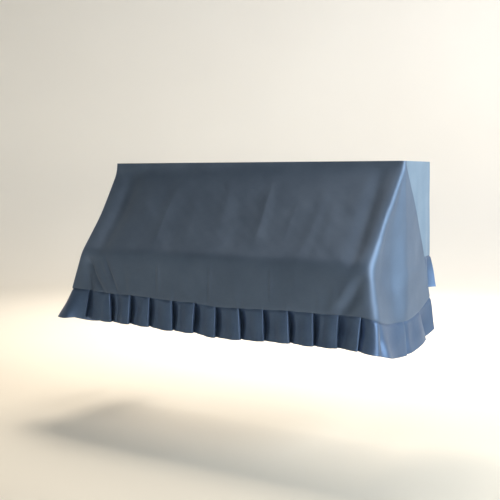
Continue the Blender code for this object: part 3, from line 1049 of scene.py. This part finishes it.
    def seam_drop(self, x: np.ndarray) -> np.ndarray:
        """How far the front seam hangs below the lid, read along the pleats.

        Args:
            x: places along the seam.

        Returns:
            The drop at each place.
        """
        last = self.stations[-1]
        places = [-last.left] + [p.place for p in self.pleats] + [last.right]
        drops = [last.down_left] + [p.seam for p in self.pleats] + [last.down_right]
        return np.interp(x, places, drops)

    def front(self, v: np.ndarray, share: np.ndarray) -> np.ndarray:
        """The face between the ridges: v and share are grids of the same shape.

        Args:
            v: stations.
            share: from 0 at the left ridge to 1 at the right one.

        Returns:
            A grid of points.
        """
        left, right = self.ridge(v, Side.LEFT), self.ridge(v, Side.RIGHT)
        point = mix(left, right, share[..., None])
        own = mix(self.sags[0], self.sags[2], share)
        more = (self.sags[1] - own) * (1 - np.abs(2 * share - 1) ** 2) * self._swell(v)
        last = self.stations[-1]
        straight = mix(last.down_left, last.down_right, share)
        point[..., 2] -= (self.seam_drop(point[..., 0]) - straight) * np.clip(v - 2, 0, 1)
        point[..., 1] += 0.8 * more
        point[..., 2] -= 0.6 * more
        return point

    def wrap(self, v: np.ndarray, share: np.ndarray, side: Side) -> np.ndarray:
        """The wrap behind a ridge: share runs from the ridge to the rear edge.

        Args:
            v: stations, one for each row.
            share: from 0 at the ridge to 1 at the rear edge.
            side: which wrap.

        Returns:
            A grid of points.
        """
        ridge = self.ridge(v, side)
        back = self._column([e.back for e in self.edges], v) + self.edge_bow * self._swell(v)
        down = self._column([e.down for e in self.edges], v)
        edge = np.stack([np.zeros_like(back), SIZES.front + back, -down], axis=-1)
        point = mix(ridge, edge, share[..., None])
        chord = edge[..., 1:] - ridge[..., 1:]
        length = np.linalg.norm(chord, axis=-1)
        radius = np.maximum(length, np.hypot(edge[..., 1] - SIZES.front, edge[..., 2]))
        dip = self.dip * length**2 / (8 * radius) * 4 * share * (1 - share)
        point[..., 1] += dip * chord[..., 1] / length
        point[..., 2] -= dip * chord[..., 0] / length
        fold_share = (SIZES.front - ridge[..., 1]) / (edge[..., 1] - ridge[..., 1])
        fold_x = self._column([e.fold_x for e in self.edges], v)
        edge_x = self._column([e.edge_x for e in self.edges], v)
        before = (fold_x - np.abs(ridge[..., 0])) / np.maximum(fold_share, 1e-6)
        after = (edge_x - fold_x) / (1 - fold_share)
        reach = np.maximum(0.9 * np.minimum(fold_share, 1 - fold_share), 1e-6)
        slope = np.where(share < fold_share, before, after)
        x = fold_x + slope * (share - fold_share)
        x += (after - before) * np.maximum(0.0, reach - np.abs(share - fold_share)) ** 2 / (4 * reach)
        ahead = np.maximum(SIZES.front - ridge[..., 1], 1e-4)
        start = np.minimum(self.step_start, 0.6 * ahead)
        back_here = point[..., 1] - SIZES.front
        step = smooth((back_here + start) / (start + self.step_end))
        level = self.cheek_inset * smooth(ahead / 0.25) * smooth((ahead + back_here) / (0.5 * ahead))
        near = mix(np.abs(ridge[..., 0]) - level, x, step)
        point[..., 0] = side.value * np.where(back_here < self.step_end, near, x)
        return point

    def _shares(self) -> np.ndarray:
        """Columns across the front, closer together where a narrow crease runs.

        Returns:
            Shares from 0 to 1 across the front.
        """
        narrow = [c.foot_across for c in self.fall_creases if c.width < 0.0075]
        width = self.stations[-1].left + self.stations[-1].right
        centres = (np.array(narrow) + self.stations[-1].left) / width
        extra = (centres[:, None] + np.array([-0.0042, -0.0021, 0.0, 0.0021, 0.0042])).ravel()
        return np.unique(np.concatenate([np.linspace(0.0, 1.0, self.front_columns + 1), extra]))

    def rows(self) -> np.ndarray:
        """The stations of the rows, closer together at the bends and at the foot.

        Returns:
            The stations, in order.
        """
        return np.unique(
            np.concatenate(
                [
                    np.linspace(0.0, 0.9, 4),
                    np.linspace(0.9, 1.08, 6),
                    np.linspace(1.08, 1.9, 40),
                    np.linspace(1.9, 2.1, 11),
                    np.linspace(2.1, 3.0, 31),
                    [2.985, 2.993],
                ]
            ).round(5)
        )

    def base(self, v: np.ndarray) -> np.ndarray:
        """The panel without its small folds, from the left rear edge round to the right one.

        Args:
            v: the rows' stations.

        Returns:
            Rows of points.
        """
        radius = self._column([e.ridge_round for e in self.edges], v)[:, None]
        width = (self.ridge(v, Side.RIGHT) - self.ridge(v, Side.LEFT))[:, :1]
        left_inset = self.left_ridge_share * radius / width
        right_inset = self.right_front_share * radius / width
        share = left_inset + (1 - left_inset - right_inset) * self._shares()
        rows = v[:, None]
        front = self.front(np.broadcast_to(rows, share.shape), share)
        parts = {}
        for side in Side:
            ridge = self.ridge(v, side)[:, None]
            tip = self.wrap(rows, np.ones_like(rows), side)
            own = radius * (self.left_ridge_share if side is Side.LEFT else self.right_wrap_share)
            first = own / np.linalg.norm(tip - ridge, axis=-1)
            run = first + (1 - first) * np.linspace(0.0, 1.0, self.wrap_columns + 1)
            wrap = self.wrap(np.broadcast_to(rows, run.shape), run, side)
            near = front[:, :1] if side is Side.LEFT else front[:, -1:]
            if side is Side.RIGHT:
                push = self.right_ridge_push * smooth((v - 1) / 0.4)[:, None, None]
                ridge = ridge + push * RIGHT_RIDGE_OUT
            t = (np.arange(1, self.ridge_steps) / self.ridge_steps)[None, :, None]
            turn = (1 - t) ** 2 * near + 2 * t * (1 - t) * ridge + t**2 * wrap[:, :1]
            parts[side] = (turn, wrap)
        left_turn, left_wrap = parts[Side.LEFT]
        right_turn, right_wrap = parts[Side.RIGHT]
        return np.concatenate(
            [left_wrap[:, ::-1], left_turn[:, ::-1], front, right_turn, right_wrap], axis=1
        )

    def relief(self, points: np.ndarray, v: np.ndarray) -> np.ndarray:
        """The lift of every fold, pucker and wave over the panel.

        Args:
            points: the base grid.
            v: the rows' stations.

        Returns:
            The lift at each point.
        """
        x, y, down = points[..., 0], points[..., 1], -points[..., 2]
        back = y - SIZES.front
        front = self._front_share(points.shape[1])
        lift = front * crease_lift(x, down, self.slope_creases + self.fall_creases)
        for side in Side:
            here = (1 - front) * (np.sign(x) == side.value)
            shift = 0.0 if side is Side.RIGHT else self.left_crease_shift
            lift += here * crease_lift(back + shift, down, self.wrap_creases)
        lift += front * self._puckers(x, down)
        calm = smooth((v - 0.9) / 0.5)[:, None] * self._calm_edges(points.shape[1])
        waves = self.long_waves.at(x + back, down * 0.45)
        waves += self.short_waves.at(x + back, down * 0.6)
        rolled = self.seam_roll * np.exp(-(((3.0 - v) / 0.018) ** 2))[:, None]
        return lift * smooth((v - 0.6) / 0.5)[:, None] + waves * calm - rolled

    def _clear_of_flap(self, points: np.ndarray) -> np.ndarray:
        """Keep the wraps outside the flap and its frill, which hang beneath their rear part.

        Args:
            points: the panel's grid.

        Returns:
            The grid, moved outwards where it was too close.
        """
        back, down = points[..., 1] - SIZES.front, -points[..., 2]
        under = SIZES.half + self.flap_clear + self.flap_stand * np.clip(down / self.flap_drop, 0.0, 1.0)
        under = under + self.flap_frill_clear * smooth((down - self.flap_drop) / 0.06)
        over = smooth((back + 0.004) / 0.02) * smooth(down / 0.05) * smooth((0.60 - down) / 0.03)
        soft = self.held_softly
        gap = (np.abs(points[..., 0]) - under) / soft
        held = under + soft * np.logaddexp(0.0, gap)
        clear = points.copy()
        clear[..., 0] = np.sign(points[..., 0]) * mix(np.abs(points[..., 0]), held, over)
        return clear

    def _front_share(self, count: int) -> np.ndarray:
        """1 on the front's columns, 0 on the wraps' and between them over the ridges' turns.

        Args:
            count: how many columns the panel has.

        Returns:
            The share for each column.
        """
        index = np.arange(count)
        near = np.minimum(index, count - 1 - index)
        return smooth((near - self.wrap_columns) / self.ridge_steps)

    def corner_columns(self) -> tuple[int, int]:
        """The columns in the middle of the left and right ridges' turns, the second from the end."""
        corner = self.wrap_columns + self.ridge_steps // 2
        return corner, -corner - 1

    def _calm_edges(self, count: int) -> np.ndarray:
        """Keeps the random waves off the ridges, where the cloth is tight.

        Args:
            count: how many columns the panel has.

        Returns:
            A factor for each column.
        """
        index = np.arange(count)
        ridge = self.wrap_columns + self.ridge_steps / 2
        away = np.minimum(np.abs(index - ridge), np.abs(index - (count - ridge)))
        return 0.25 + 0.75 * smooth(away / 16)

    def _puckers(self, x: np.ndarray, down: np.ndarray) -> np.ndarray:
        """Short puckers above the seam, where each pleat's three layers are sewn in.

        Args:
            x: the grid's places across.
            down: its places down.

        Returns:
            The lift at each point.
        """
        above = self.seam_drop(x) - down
        total = np.zeros(x.shape)
        draw = np.random.default_rng(self.pucker_seed)
        for pleat in self.pleats:
            height, reach = draw.uniform(0.0010, 0.0022), draw.uniform(0.018, 0.040)
            fade = np.exp(-((np.maximum(above, 0.0) / reach) ** 2))
            total += height * fade * np.exp(-(((x - pleat.place + 0.006) / 0.011) ** 2))
            total -= 0.9 * height * fade * np.exp(-(((x - pleat.place - 0.014) / 0.012) ** 2))
        return total

    def sheet(self) -> Sheet:
        """The finished panel.

        Returns:
            The sheet.
        """
        v = self.rows()
        points = self.base(v)
        steps_down = np.linalg.norm(np.diff(points, axis=0), axis=2)
        down = np.concatenate([np.zeros((1, points.shape[1])), np.cumsum(steps_down, axis=0)])
        middle = points.shape[1] // 2
        steps_across = np.linalg.norm(np.diff(points, axis=1), axis=2)
        across = np.concatenate([np.zeros((points.shape[0], 1)), np.cumsum(steps_across, axis=1)], axis=1)
        across = across - across[:, middle : middle + 1]
        edge = np.minimum(across - across[:, :1], across[:, -1:] - across)
        sheet = Sheet(points, np.stack([across, down], axis=-1), hem_thickness(edge))
        lifted = sheet.lifted(self.relief(points, v))
        return Sheet(self._clear_of_flap(lifted.points), lifted.flat, lifted.thickness)

    def build(self, stitcher: HemStitches) -> Sheet:
        """Build the panel and the stitches of its two free edges.

        Args:
            stitcher: what sews the hems.

        Returns:
            The sheet, whose last row the frill hangs from.
        """
        sheet = self.sheet()
        piece = sheet.object("front_cloth", SATIN_FRONT.material())
        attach(piece, "root")
        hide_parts("front_panel")
        for side in Side:
            edge = sheet.flat[:, 0, 0] if side is Side.LEFT else sheet.flat[:, -1, 0]
            self._sew_edge(sheet, side, np.abs(edge), stitcher)
        log.info("front_cloth: %d points", sheet.points.shape[0] * sheet.points.shape[1])
        return sheet

    def _sew_edge(self, sheet: Sheet, side: Side, edge: np.ndarray, stitcher: HemStitches) -> None:
        """Sew the turned hem along a wrap's rear edge, a constant distance inside it.

        Args:
            sheet: the panel's cloth.
            side: which wrap.
            edge: each row's flat distance from the middle to the edge.
            stitcher: what sews the hem.
        """
        half = np.broadcast_to(np.asarray(sheet.thickness), sheet.points.shape[:2]) / 2
        outer = sheet.points + sheet.normals() * (half + 0.3 * stitcher.gauge)[..., None]
        path = []
        for row in range(4, sheet.points.shape[0]):
            across = np.abs(sheet.flat[row, :, 0])
            columns = slice(0, self.wrap_columns) if side is Side.LEFT else slice(-self.wrap_columns, None)
            run, points = across[columns], outer[row, columns]
            order = np.argsort(run)
            target = edge[row] - stitcher.inset
            if run.min() > target:
                continue
            path.append([np.interp(target, run[order], points[order, k]) for k in range(3)])
        word = side.name.lower()
        stitcher.sew(f"front_cloth_{word}_edge_stitches", np.array(path))


@dataclass
class SideFlap:
    """A straight flap that hangs from the top's side edge, under the wrap, with its own frill."""

    side: Side
    front_edge: float = 0.010
    rear_edge: float = 0.3265
    drop: float = 0.419
    stand: float = 0.0075
    fold_width: float = 0.022
    folds: tuple[tuple[float, float], ...] = ((0.075, 0.0018), (0.170, 0.0016), (0.262, 0.0022))
    pleats: tuple[Pleat, ...] = (
        Pleat(place=0.070, flare=0.006, lean=0.003),
        Pleat(place=0.180, flare=0.006, lean=0.003),
        Pleat(place=0.272, flare=0.008, lean=0.004),
    )
    frill_height: float = 0.141
    end_flare: float = 0.036
    seed: int = 31
    frill_seed: int = 41
    wave_length: float = 0.13
    wave_height: float = 0.0005
    columns: int = 64
    rows: int = 72

    def point(self, along: np.ndarray, fall: np.ndarray) -> np.ndarray:
        """Points of the flap: along from its front edge, fall from 0 at the top to 1.

        Args:
            along: distances behind the lid's front edge.
            fall: from 0 at the top to 1 at the foot.

        Returns:
            A grid of points.
        """
        folds = sum(h * np.exp(-(((along - p) / self.fold_width) ** 2)) for p, h in self.folds)
        x = SIZES.half + SIZES.skin + self.stand * fall + folds * np.sin(math.pi * fall * 0.5)
        waves = Unevenness(self.seed + self.side.value, self.wave_length, self.wave_height)
        x = x + waves.at(along, fall * self.drop * 0.4) * smooth(fall * 4)
        z = mix(SIZES.node_cloth, -self.drop, fall)
        return np.stack([self.side.value * x, SIZES.front + along, z], axis=-1)

    def sheet(self) -> Sheet:
        """The flap's cloth.

        Returns:
            The sheet.
        """
        along = np.linspace(self.front_edge, self.rear_edge, self.columns + 1)[:: self.side.value]
        fall = np.linspace(0.0, 1.0, self.rows + 1)
        along_grid, fall_grid = np.meshgrid(along, fall)
        flat = np.stack([along_grid, fall_grid * self.drop], axis=-1)
        edge = np.minimum(self.rear_edge - along_grid, along_grid - self.front_edge)
        return Sheet(self.point(along_grid, fall_grid), flat, hem_thickness(edge))

    def build(self, stitcher: HemStitches) -> None:
        """Build the flap, its frill and the stitches of both.

        Args:
            stitcher: what sews the hems.
        """
        word = self.side.name.lower()
        sheet = self.sheet()
        name = f"side_cloth_{word}"
        piece = sheet.object(name, SATIN_FLAP_PAINTED_LIGHTER.material())
        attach(piece, "root")
        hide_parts(f"side_flap_{word}")
        self._sew_rear_edge(sheet, name, stitcher)
        strip = Strip(sheet.points[-1])
        flares = (0.0, self.end_flare) if self.side is Side.RIGHT else (self.end_flare, 0.0)
        folds = [
            Fold(strip.where(1, SIZES.front + p.place), p.flare, p.lean)
            for p in self.pleats[:: self.side.value]
        ]
        frill = Frill(
            name=f"side_frill_{word}",
            node=f"flap_frill_{word}",
            slot="satin_frill",
            strip=strip,
            folds=folds,
            heights=np.full_like(strip.marks, self.frill_height),
            end_flares=flares,
            seed=self.frill_seed + self.side.value,
        )
        frill.build(stitcher)

    def _sew_rear_edge(self, sheet: Sheet, name: str, stitcher: HemStitches) -> None:
        """Sew the turned hem down the flap's rear edge.

        Args:
            sheet: the flap's cloth.
            name: the flap's name.
            stitcher: what sews the hem.
        """
        along = sheet.flat[0, :, 0]
        column = int(np.argmin(np.abs(along - (self.rear_edge - stitcher.inset))))
        half = SIZES.hem_cloth / 2 + 0.3 * stitcher.gauge
        path = sheet.points[4:, column] + sheet.normals()[4:, column] * half
        stitcher.sew(name + "_edge_stitches", path)


@dataclass
class LidPanel:
    """The rectangle that lies on the lid, built by Geometry Nodes from its own rule."""

    width: float = SIZES.top_width + 0.0006
    depth: float = SIZES.top_depth + 0.0006
    thickness: float = 0.0012
    ripple: float = 0.00035
    ripple_length: float = 0.16
    cut_corner: float = 0.0022
    across: int = 160
    along: int = 38
    stitch_end: float = 0.004
    stitch_proud: float = 0.0003
    path_points: int = 60
    seed: int = 7

    def _tree(self, material: bpy.types.Material) -> bpy.types.NodeTree:
        """Build the tree: a grid with eased corners and faint ripples, given its thickness.

        Args:
            material: the panel's satin.

        Returns:
            The tree.
        """
        tree = bpy.data.node_groups.new("lid_panel", "GeometryNodeTree")
        lengths = {
            "Width": self.width, "Depth": self.depth, "Thickness": self.thickness,
            "Ripple": self.ripple, "Ripple Length": self.ripple_length, "Corner": self.cut_corner,
        }
        add_inputs(tree, lengths, self.seed)
        tree.interface.new_socket("Panel", in_out="OUTPUT", socket_type="NodeSocketGeometry")
        given = add_node(tree, "NodeGroupInput").outputs

        def calculate(
            operation: str, first: bpy.types.NodeSocket | float, second: bpy.types.NodeSocket | float = 0.0
        ) -> bpy.types.NodeSocket:
            """One step of arithmetic."""
            node = add_node(tree, "ShaderNodeMath", {"operation": operation}, i0=first, i1=second)
            return node.outputs[0]

        grid = add_node(
            tree, "GeometryNodeMeshGrid", {}, Size_X=given["Width"], Size_Y=given["Depth"],
            Vertices_X=self.across + 1, Vertices_Y=self.along + 1,
        )
        place = add_node(tree, "GeometryNodeInputPosition").outputs["Position"]
        parts = add_node(tree, "ShaderNodeSeparateXYZ", {}, Vector=place).outputs
        half_width = calculate("MULTIPLY", given["Width"], 0.4999)
        half_depth = calculate("MULTIPLY", given["Depth"], 0.4999)
        at_side = calculate("GREATER_THAN", calculate("ABSOLUTE", parts["X"]), half_width)
        at_end = calculate("GREATER_THAN", calculate("ABSOLUTE", parts["Y"]), half_depth)
        corner = calculate("MULTIPLY", calculate("MULTIPLY", at_side, at_end), given["Corner"])
        pull_x = calculate("MULTIPLY", calculate("SIGN", parts["X"]), calculate("MULTIPLY", corner, -1.0))
        pull_y = calculate("MULTIPLY", calculate("SIGN", parts["Y"]), calculate("MULTIPLY", corner, -1.0))
        shifted = add_node(tree, "ShaderNodeVectorMath", {"operation": "ADD"}, i0=place)
        offset = calculate("MULTIPLY", given["Seed"], 1.37)
        tree.links.new(
            add_node(tree, "ShaderNodeCombineXYZ", {}, X=offset, Y=offset).outputs[0], shifted.inputs[1]
        )
        noise = add_node(
            tree, "ShaderNodeTexNoise", {}, Vector=shifted.outputs[0],
            Scale=calculate("DIVIDE", 1.0, given["Ripple Length"]), Detail=1.5,
        ).outputs["Fac"]
        lift = calculate("MULTIPLY", calculate("SUBTRACT", noise, 0.35), given["Ripple"])
        raised = calculate("ADD", lift, given["Thickness"])
        top = add_node(
            tree, "GeometryNodeSetPosition", {}, Geometry=grid.outputs["Mesh"],
            Offset=add_node(tree, "ShaderNodeCombineXYZ", {}, X=pull_x, Y=pull_y, Z=raised).outputs[0],
        ).outputs["Geometry"]
        under = add_node(
            tree, "GeometryNodeSetPosition", {}, Geometry=grid.outputs["Mesh"],
            Offset=add_node(tree, "ShaderNodeCombineXYZ", {}, X=pull_x, Y=pull_y, Z=lift).outputs[0],
        ).outputs["Geometry"]
        turned = add_node(tree, "GeometryNodeFlipFaces", {}, Mesh=under).outputs["Mesh"]
        rim_lines = add_node(
            tree, "GeometryNodeExtrudeMesh", {"mode": "EDGES"}, Mesh=under,
            Selection=add_node(
                tree, "FunctionNodeCompare", {"data_type": "INT", "operation": "EQUAL"},
                i2=add_node(tree, "GeometryNodeInputMeshEdgeNeighbors").outputs[0], i3=1,
            ).outputs[0],
            Offset=add_node(tree, "ShaderNodeCombineXYZ", {}, Z=given["Thickness"]).outputs[0],
            Offset_Scale=1.0,
        )
        rim = add_node(
            tree, "GeometryNodeSeparateGeometry", {"domain": "FACE"}, Geometry=rim_lines.outputs["Mesh"],
            Selection=rim_lines.outputs["Side"],
        ).outputs["Selection"]
        joined = tree.nodes.new("GeometryNodeJoinGeometry")
        for part in (top, turned, rim):
            tree.links.new(part, joined.inputs[0])
        closed = add_node(
            tree, "GeometryNodeMergeByDistance", {}, Geometry=joined.outputs[0], Distance=0.00005
        ).outputs["Geometry"]
        flat = add_node(tree, "ShaderNodeCombineXYZ", {}, X=parts["X"], Y=parts["Y"]).outputs[0]
        mapped = add_node(
            tree, "GeometryNodeStoreNamedAttribute", {"data_type": "FLOAT2", "domain": "CORNER"},
            Geometry=closed, Name="flat", Value=flat,
        ).outputs["Geometry"]
        real = add_node(tree, "GeometryNodeRealizeInstances", {}, Geometry=mapped).outputs["Geometry"]
        dressed = add_node(tree, "GeometryNodeSetMaterial", {}, Geometry=real, Material=material)
        add_node(tree, "NodeGroupOutput", {}, Panel=dressed.outputs["Geometry"])
        return tree

    def build(self, stitcher: HemStitches) -> bpy.types.Object:
        """Build the panel and the stitches of its rear hem.

        Args:
            stitcher: what sews the hem.

        Returns:
            The piece.
        """
        material = SATIN_TOP.material()
        piece = link_object("lid_cloth", bpy.data.meshes.new("lid_cloth"))
        modifier = piece.modifiers.new("panel", "NODES")
        modifier.node_group = self._tree(material)
        sockets = {item.name: item.identifier for item in modifier.node_group.interface.items_tree}
        modifier[sockets["Width"]] = self.width
        modifier[sockets["Depth"]] = self.depth
        plain(piece)
        turn_outwards(piece)
        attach(piece, "root")
        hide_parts("top_panel")
        rear = self.depth / 2 - stitcher.inset
        end = self.width / 2 - self.stitch_end
        across = np.linspace(-end, end, self.path_points)
        height = self.thickness + self.stitch_proud
        path = np.stack([across, np.full_like(across, rear), np.full_like(across, height)], axis=1)
        stitcher.sew("lid_cloth_rear_stitches", path)
        log.info("lid_cloth: %d faces", len(piece.data.polygons))
        return piece


def turn_outwards(piece: bpy.types.Object) -> None:
    """Point a closed mesh's faces outwards.

    Args:
        piece: the object whose mesh it is.
    """
    shell = bmesh.new()
    shell.from_mesh(piece.data)
    bmesh.ops.recalc_face_normals(shell, faces=shell.faces)
    shell.to_mesh(piece.data)
    shell.free()


@dataclass
class FrontFrill:
    """The long frill under the front panel, from one wrap's rear edge to the other's."""

    height_front: float = 0.133
    height_side: float = 0.143
    left_corner: tuple[tuple[float, float, float], ...] = (
        (0.000, 0.042, 0.050),
        (0.034, 0.040, 0.036),
    )
    right_corner: tuple[tuple[float, float, float], ...] = (
        (-0.034, 0.018, 0.032),
        (0.020, -0.018, 0.011),
        (0.078, 0.017, 0.056),
    )
    end_flares: tuple[float, float] = (0.026, 0.030)
    right_pleats: tuple[Pleat, ...] = (
        Pleat(place=-0.272, flare=0.022, lean=0.004),
        Pleat(place=-0.030, flare=0.020, lean=0.004),
        Pleat(place=0.142, flare=0.020, lean=0.046),
    )
    left_pleats: tuple[Pleat, ...] = (
        Pleat(place=0.175, flare=0.020, lean=0.006),
        Pleat(place=0.030, flare=0.022, lean=0.004),
        Pleat(place=-0.120, flare=0.024, lean=0.004),
        Pleat(place=-0.262, flare=0.028, lean=0.006),
    )

    def build(self, panel: FrontPanel, cloth: Sheet, stitcher: HemStitches) -> bpy.types.Object:
        """Hang the frill from the panel's last row.

        Args:
            panel: the front panel's sizes.
            cloth: its finished sheet.
            stitcher: what sews the hem.

        Returns:
            The piece.
        """
        strip = Strip(cloth.points[-1])
        left, right = (float(strip.marks[column]) for column in panel.corner_columns())
        low, high = left / strip.length, right / strip.length
        folds = [
            Fold(strip.where(1, SIZES.front + p.place, 0.0, low), p.flare, p.lean)
            for p in self.left_pleats
        ]
        folds += [Fold(strip.where(0, p.place, low, high), p.flare, p.lean) for p in panel.pleats]
        folds += [
            Fold(strip.where(1, SIZES.front + p.place, high, 1.0), p.flare, p.lean)
            for p in self.right_pleats
        ]
        outside = np.maximum(left - strip.marks, strip.marks - right)
        heights = mix(self.height_front, self.height_side, np.clip(0.3 + outside / 0.2, 0.0, 1.0))
        frill = Frill(
            name="front_frill_cloth",
            node="front_frill",
            slot="satin_frill",
            strip=strip,
            folds=folds,
            heights=heights,
            corners=tuple(
                (corner + shift, flare, reach)
                for corner, lobes in ((left, self.left_corner), (right, self.right_corner))
                for shift, flare, reach in lobes
            ),
            end_flares=self.end_flares,
        )
        return frill.build(stitcher)


@dataclass
class Studio:
    """A pale studio: a round backdrop that runs into the floor, soft lights and the camera."""

    radius: float = 6.5
    height: float = 5.0
    cove: float = 1.6
    cove_steps: int = 12
    sectors: int = 96
    lens: float = 59.33
    camera_place: tuple[float, float, float] = (1.9803, -3.4596, -0.0583)
    camera_turn: float = 30.78
    camera_tilt: float = -5.18

    def backdrop(self) -> None:
        """Turn a floor that curves up into a round wall."""
        flat = self.radius - self.cove
        profile = [(0.0, 0.0), (flat, 0.0)]
        for step in range(1, self.cove_steps + 1):
            angle = math.pi / 2 * step / self.cove_steps
            profile.append((flat + self.cove * math.sin(angle), self.cove - self.cove * math.cos(angle)))
        profile.append((self.radius, self.height))
        count = self.sectors
        points, faces = [(0.0, 0.0, SIZES.floor)], []
        for radius, z in profile[1:]:
            for i in range(count):
                angle = math.tau * i / count
                points.append((radius * math.cos(angle), radius * math.sin(angle), SIZES.floor + z))
        for i in range(count):
            faces.append((0, 1 + i, 1 + (i + 1) % count))
        for ring in range(len(profile) - 2):
            low, high = 1 + ring * count, 1 + (ring + 1) * count
            for i in range(count):
                after = (i + 1) % count
                faces.append((low + i, high + i, high + after, low + after))
        mesh = bpy.data.meshes.new("studio_backdrop")
        mesh.from_pydata(points, [], faces)
        mesh.shade_smooth()
        # Off-white emulsion, dead matt, a little cloudy where the roller went.
        material, tree, shader = new_surface("matt_studio_paint")
        place = add_node(tree, "ShaderNodeTexCoord").outputs["Object"]
        cloudy = add_node(tree, "ShaderNodeTexNoise", {}, Vector=place, Scale=0.7, Detail=2.0)
        colour_between(tree, cloudy.outputs["Fac"], "#e4e1da", "#eae8e2")
        shader.inputs["Roughness"].default_value = 0.9
        mesh.materials.append(material)
        link_object("studio_backdrop", mesh)

    def light(
        self, name: str, place: tuple[float, float, float], aim: tuple[float, float, float],
        size: tuple[float, float], power: float, colour: str, spread: float = 180.0,
    ) -> None:
        """Add a soft rectangular light.

        Args:
            name: its name.
            place: where it stands.
            aim: the point that it looks at.
            size: its width and height.
            power: in watts.
            colour: a hex colour.
            spread: how wide it shines, in degrees.
        """
        data = bpy.data.lights.new(name, "AREA")
        data.shape = "RECTANGLE"
        data.size, data.size_y = size
        data.energy = power
        data.spread = math.radians(spread)
        data.color = linear(colour)[:3]
        lamp = link_object(name, data)
        lamp.location = place
        lamp.rotation_euler = (Vector(aim) - Vector(place)).to_track_quat("-Z", "Y").to_euler()

    def build(self) -> None:
        """Build the backdrop, the lights, the pale surroundings and the camera."""
        self.backdrop()
        self.light("corner_window", (3.3, -1.0, 0.7), (0.3, -0.4, -0.2), (1.5, 2.2), 57.0, "#f6f5f2")
        self.light("side_window", (3.4, 0.2, 0.6), (0.3, -0.4, -0.2), (1.5, 2.2), 56.0, "#dcf0f6")
        self.light("wall_light", (1.4, 1.9, 2.6), (0.2, 6.0, 0.8), (4.0, 2.0), 245.0, "#fafbff")
        self.light("ceiling", (-1.0, 1.9, 3.2), (-1.0, 1.3, -1.2), (3.0, 1.6), 118.0, "#ffeed6", 110.0)
        self.light("room", (0.5, -1.7, 3.4), (0.2, -0.9, -0.6), (4.0, 3.0), 32.0, "#fff3e2")
        world = bpy.data.worlds.new("pale_room")
        world.use_nodes = True
        surroundings = world.node_tree.nodes["Background"]
        surroundings.inputs["Color"].default_value = linear("#f4f0e8")
        surroundings.inputs["Strength"].default_value = 0.03
        bpy.context.scene.world = world
        bpy.context.scene.view_settings.view_transform = "Standard"
        data = bpy.data.cameras.new("camera")
        data.sensor_width = 36.0
        data.lens = self.lens
        data.clip_end = 60.0
        camera = link_object("camera", data)
        camera.location = self.camera_place
        camera.rotation_euler = (math.radians(90 + self.camera_tilt), 0.0, math.radians(self.camera_turn))
        bpy.context.scene.camera = camera


def main() -> None:
    """Build the studio and every piece of the cover."""
    Studio().build()
    stitcher = HemStitches()
    LidPanel().build(stitcher)
    panel = FrontPanel()
    cloth = panel.build(stitcher)
    FrontFrill().build(panel, cloth, stitcher)
    for side in Side:
        SideFlap(side=side).build(stitcher)


if __name__ == "__main__":
    main()
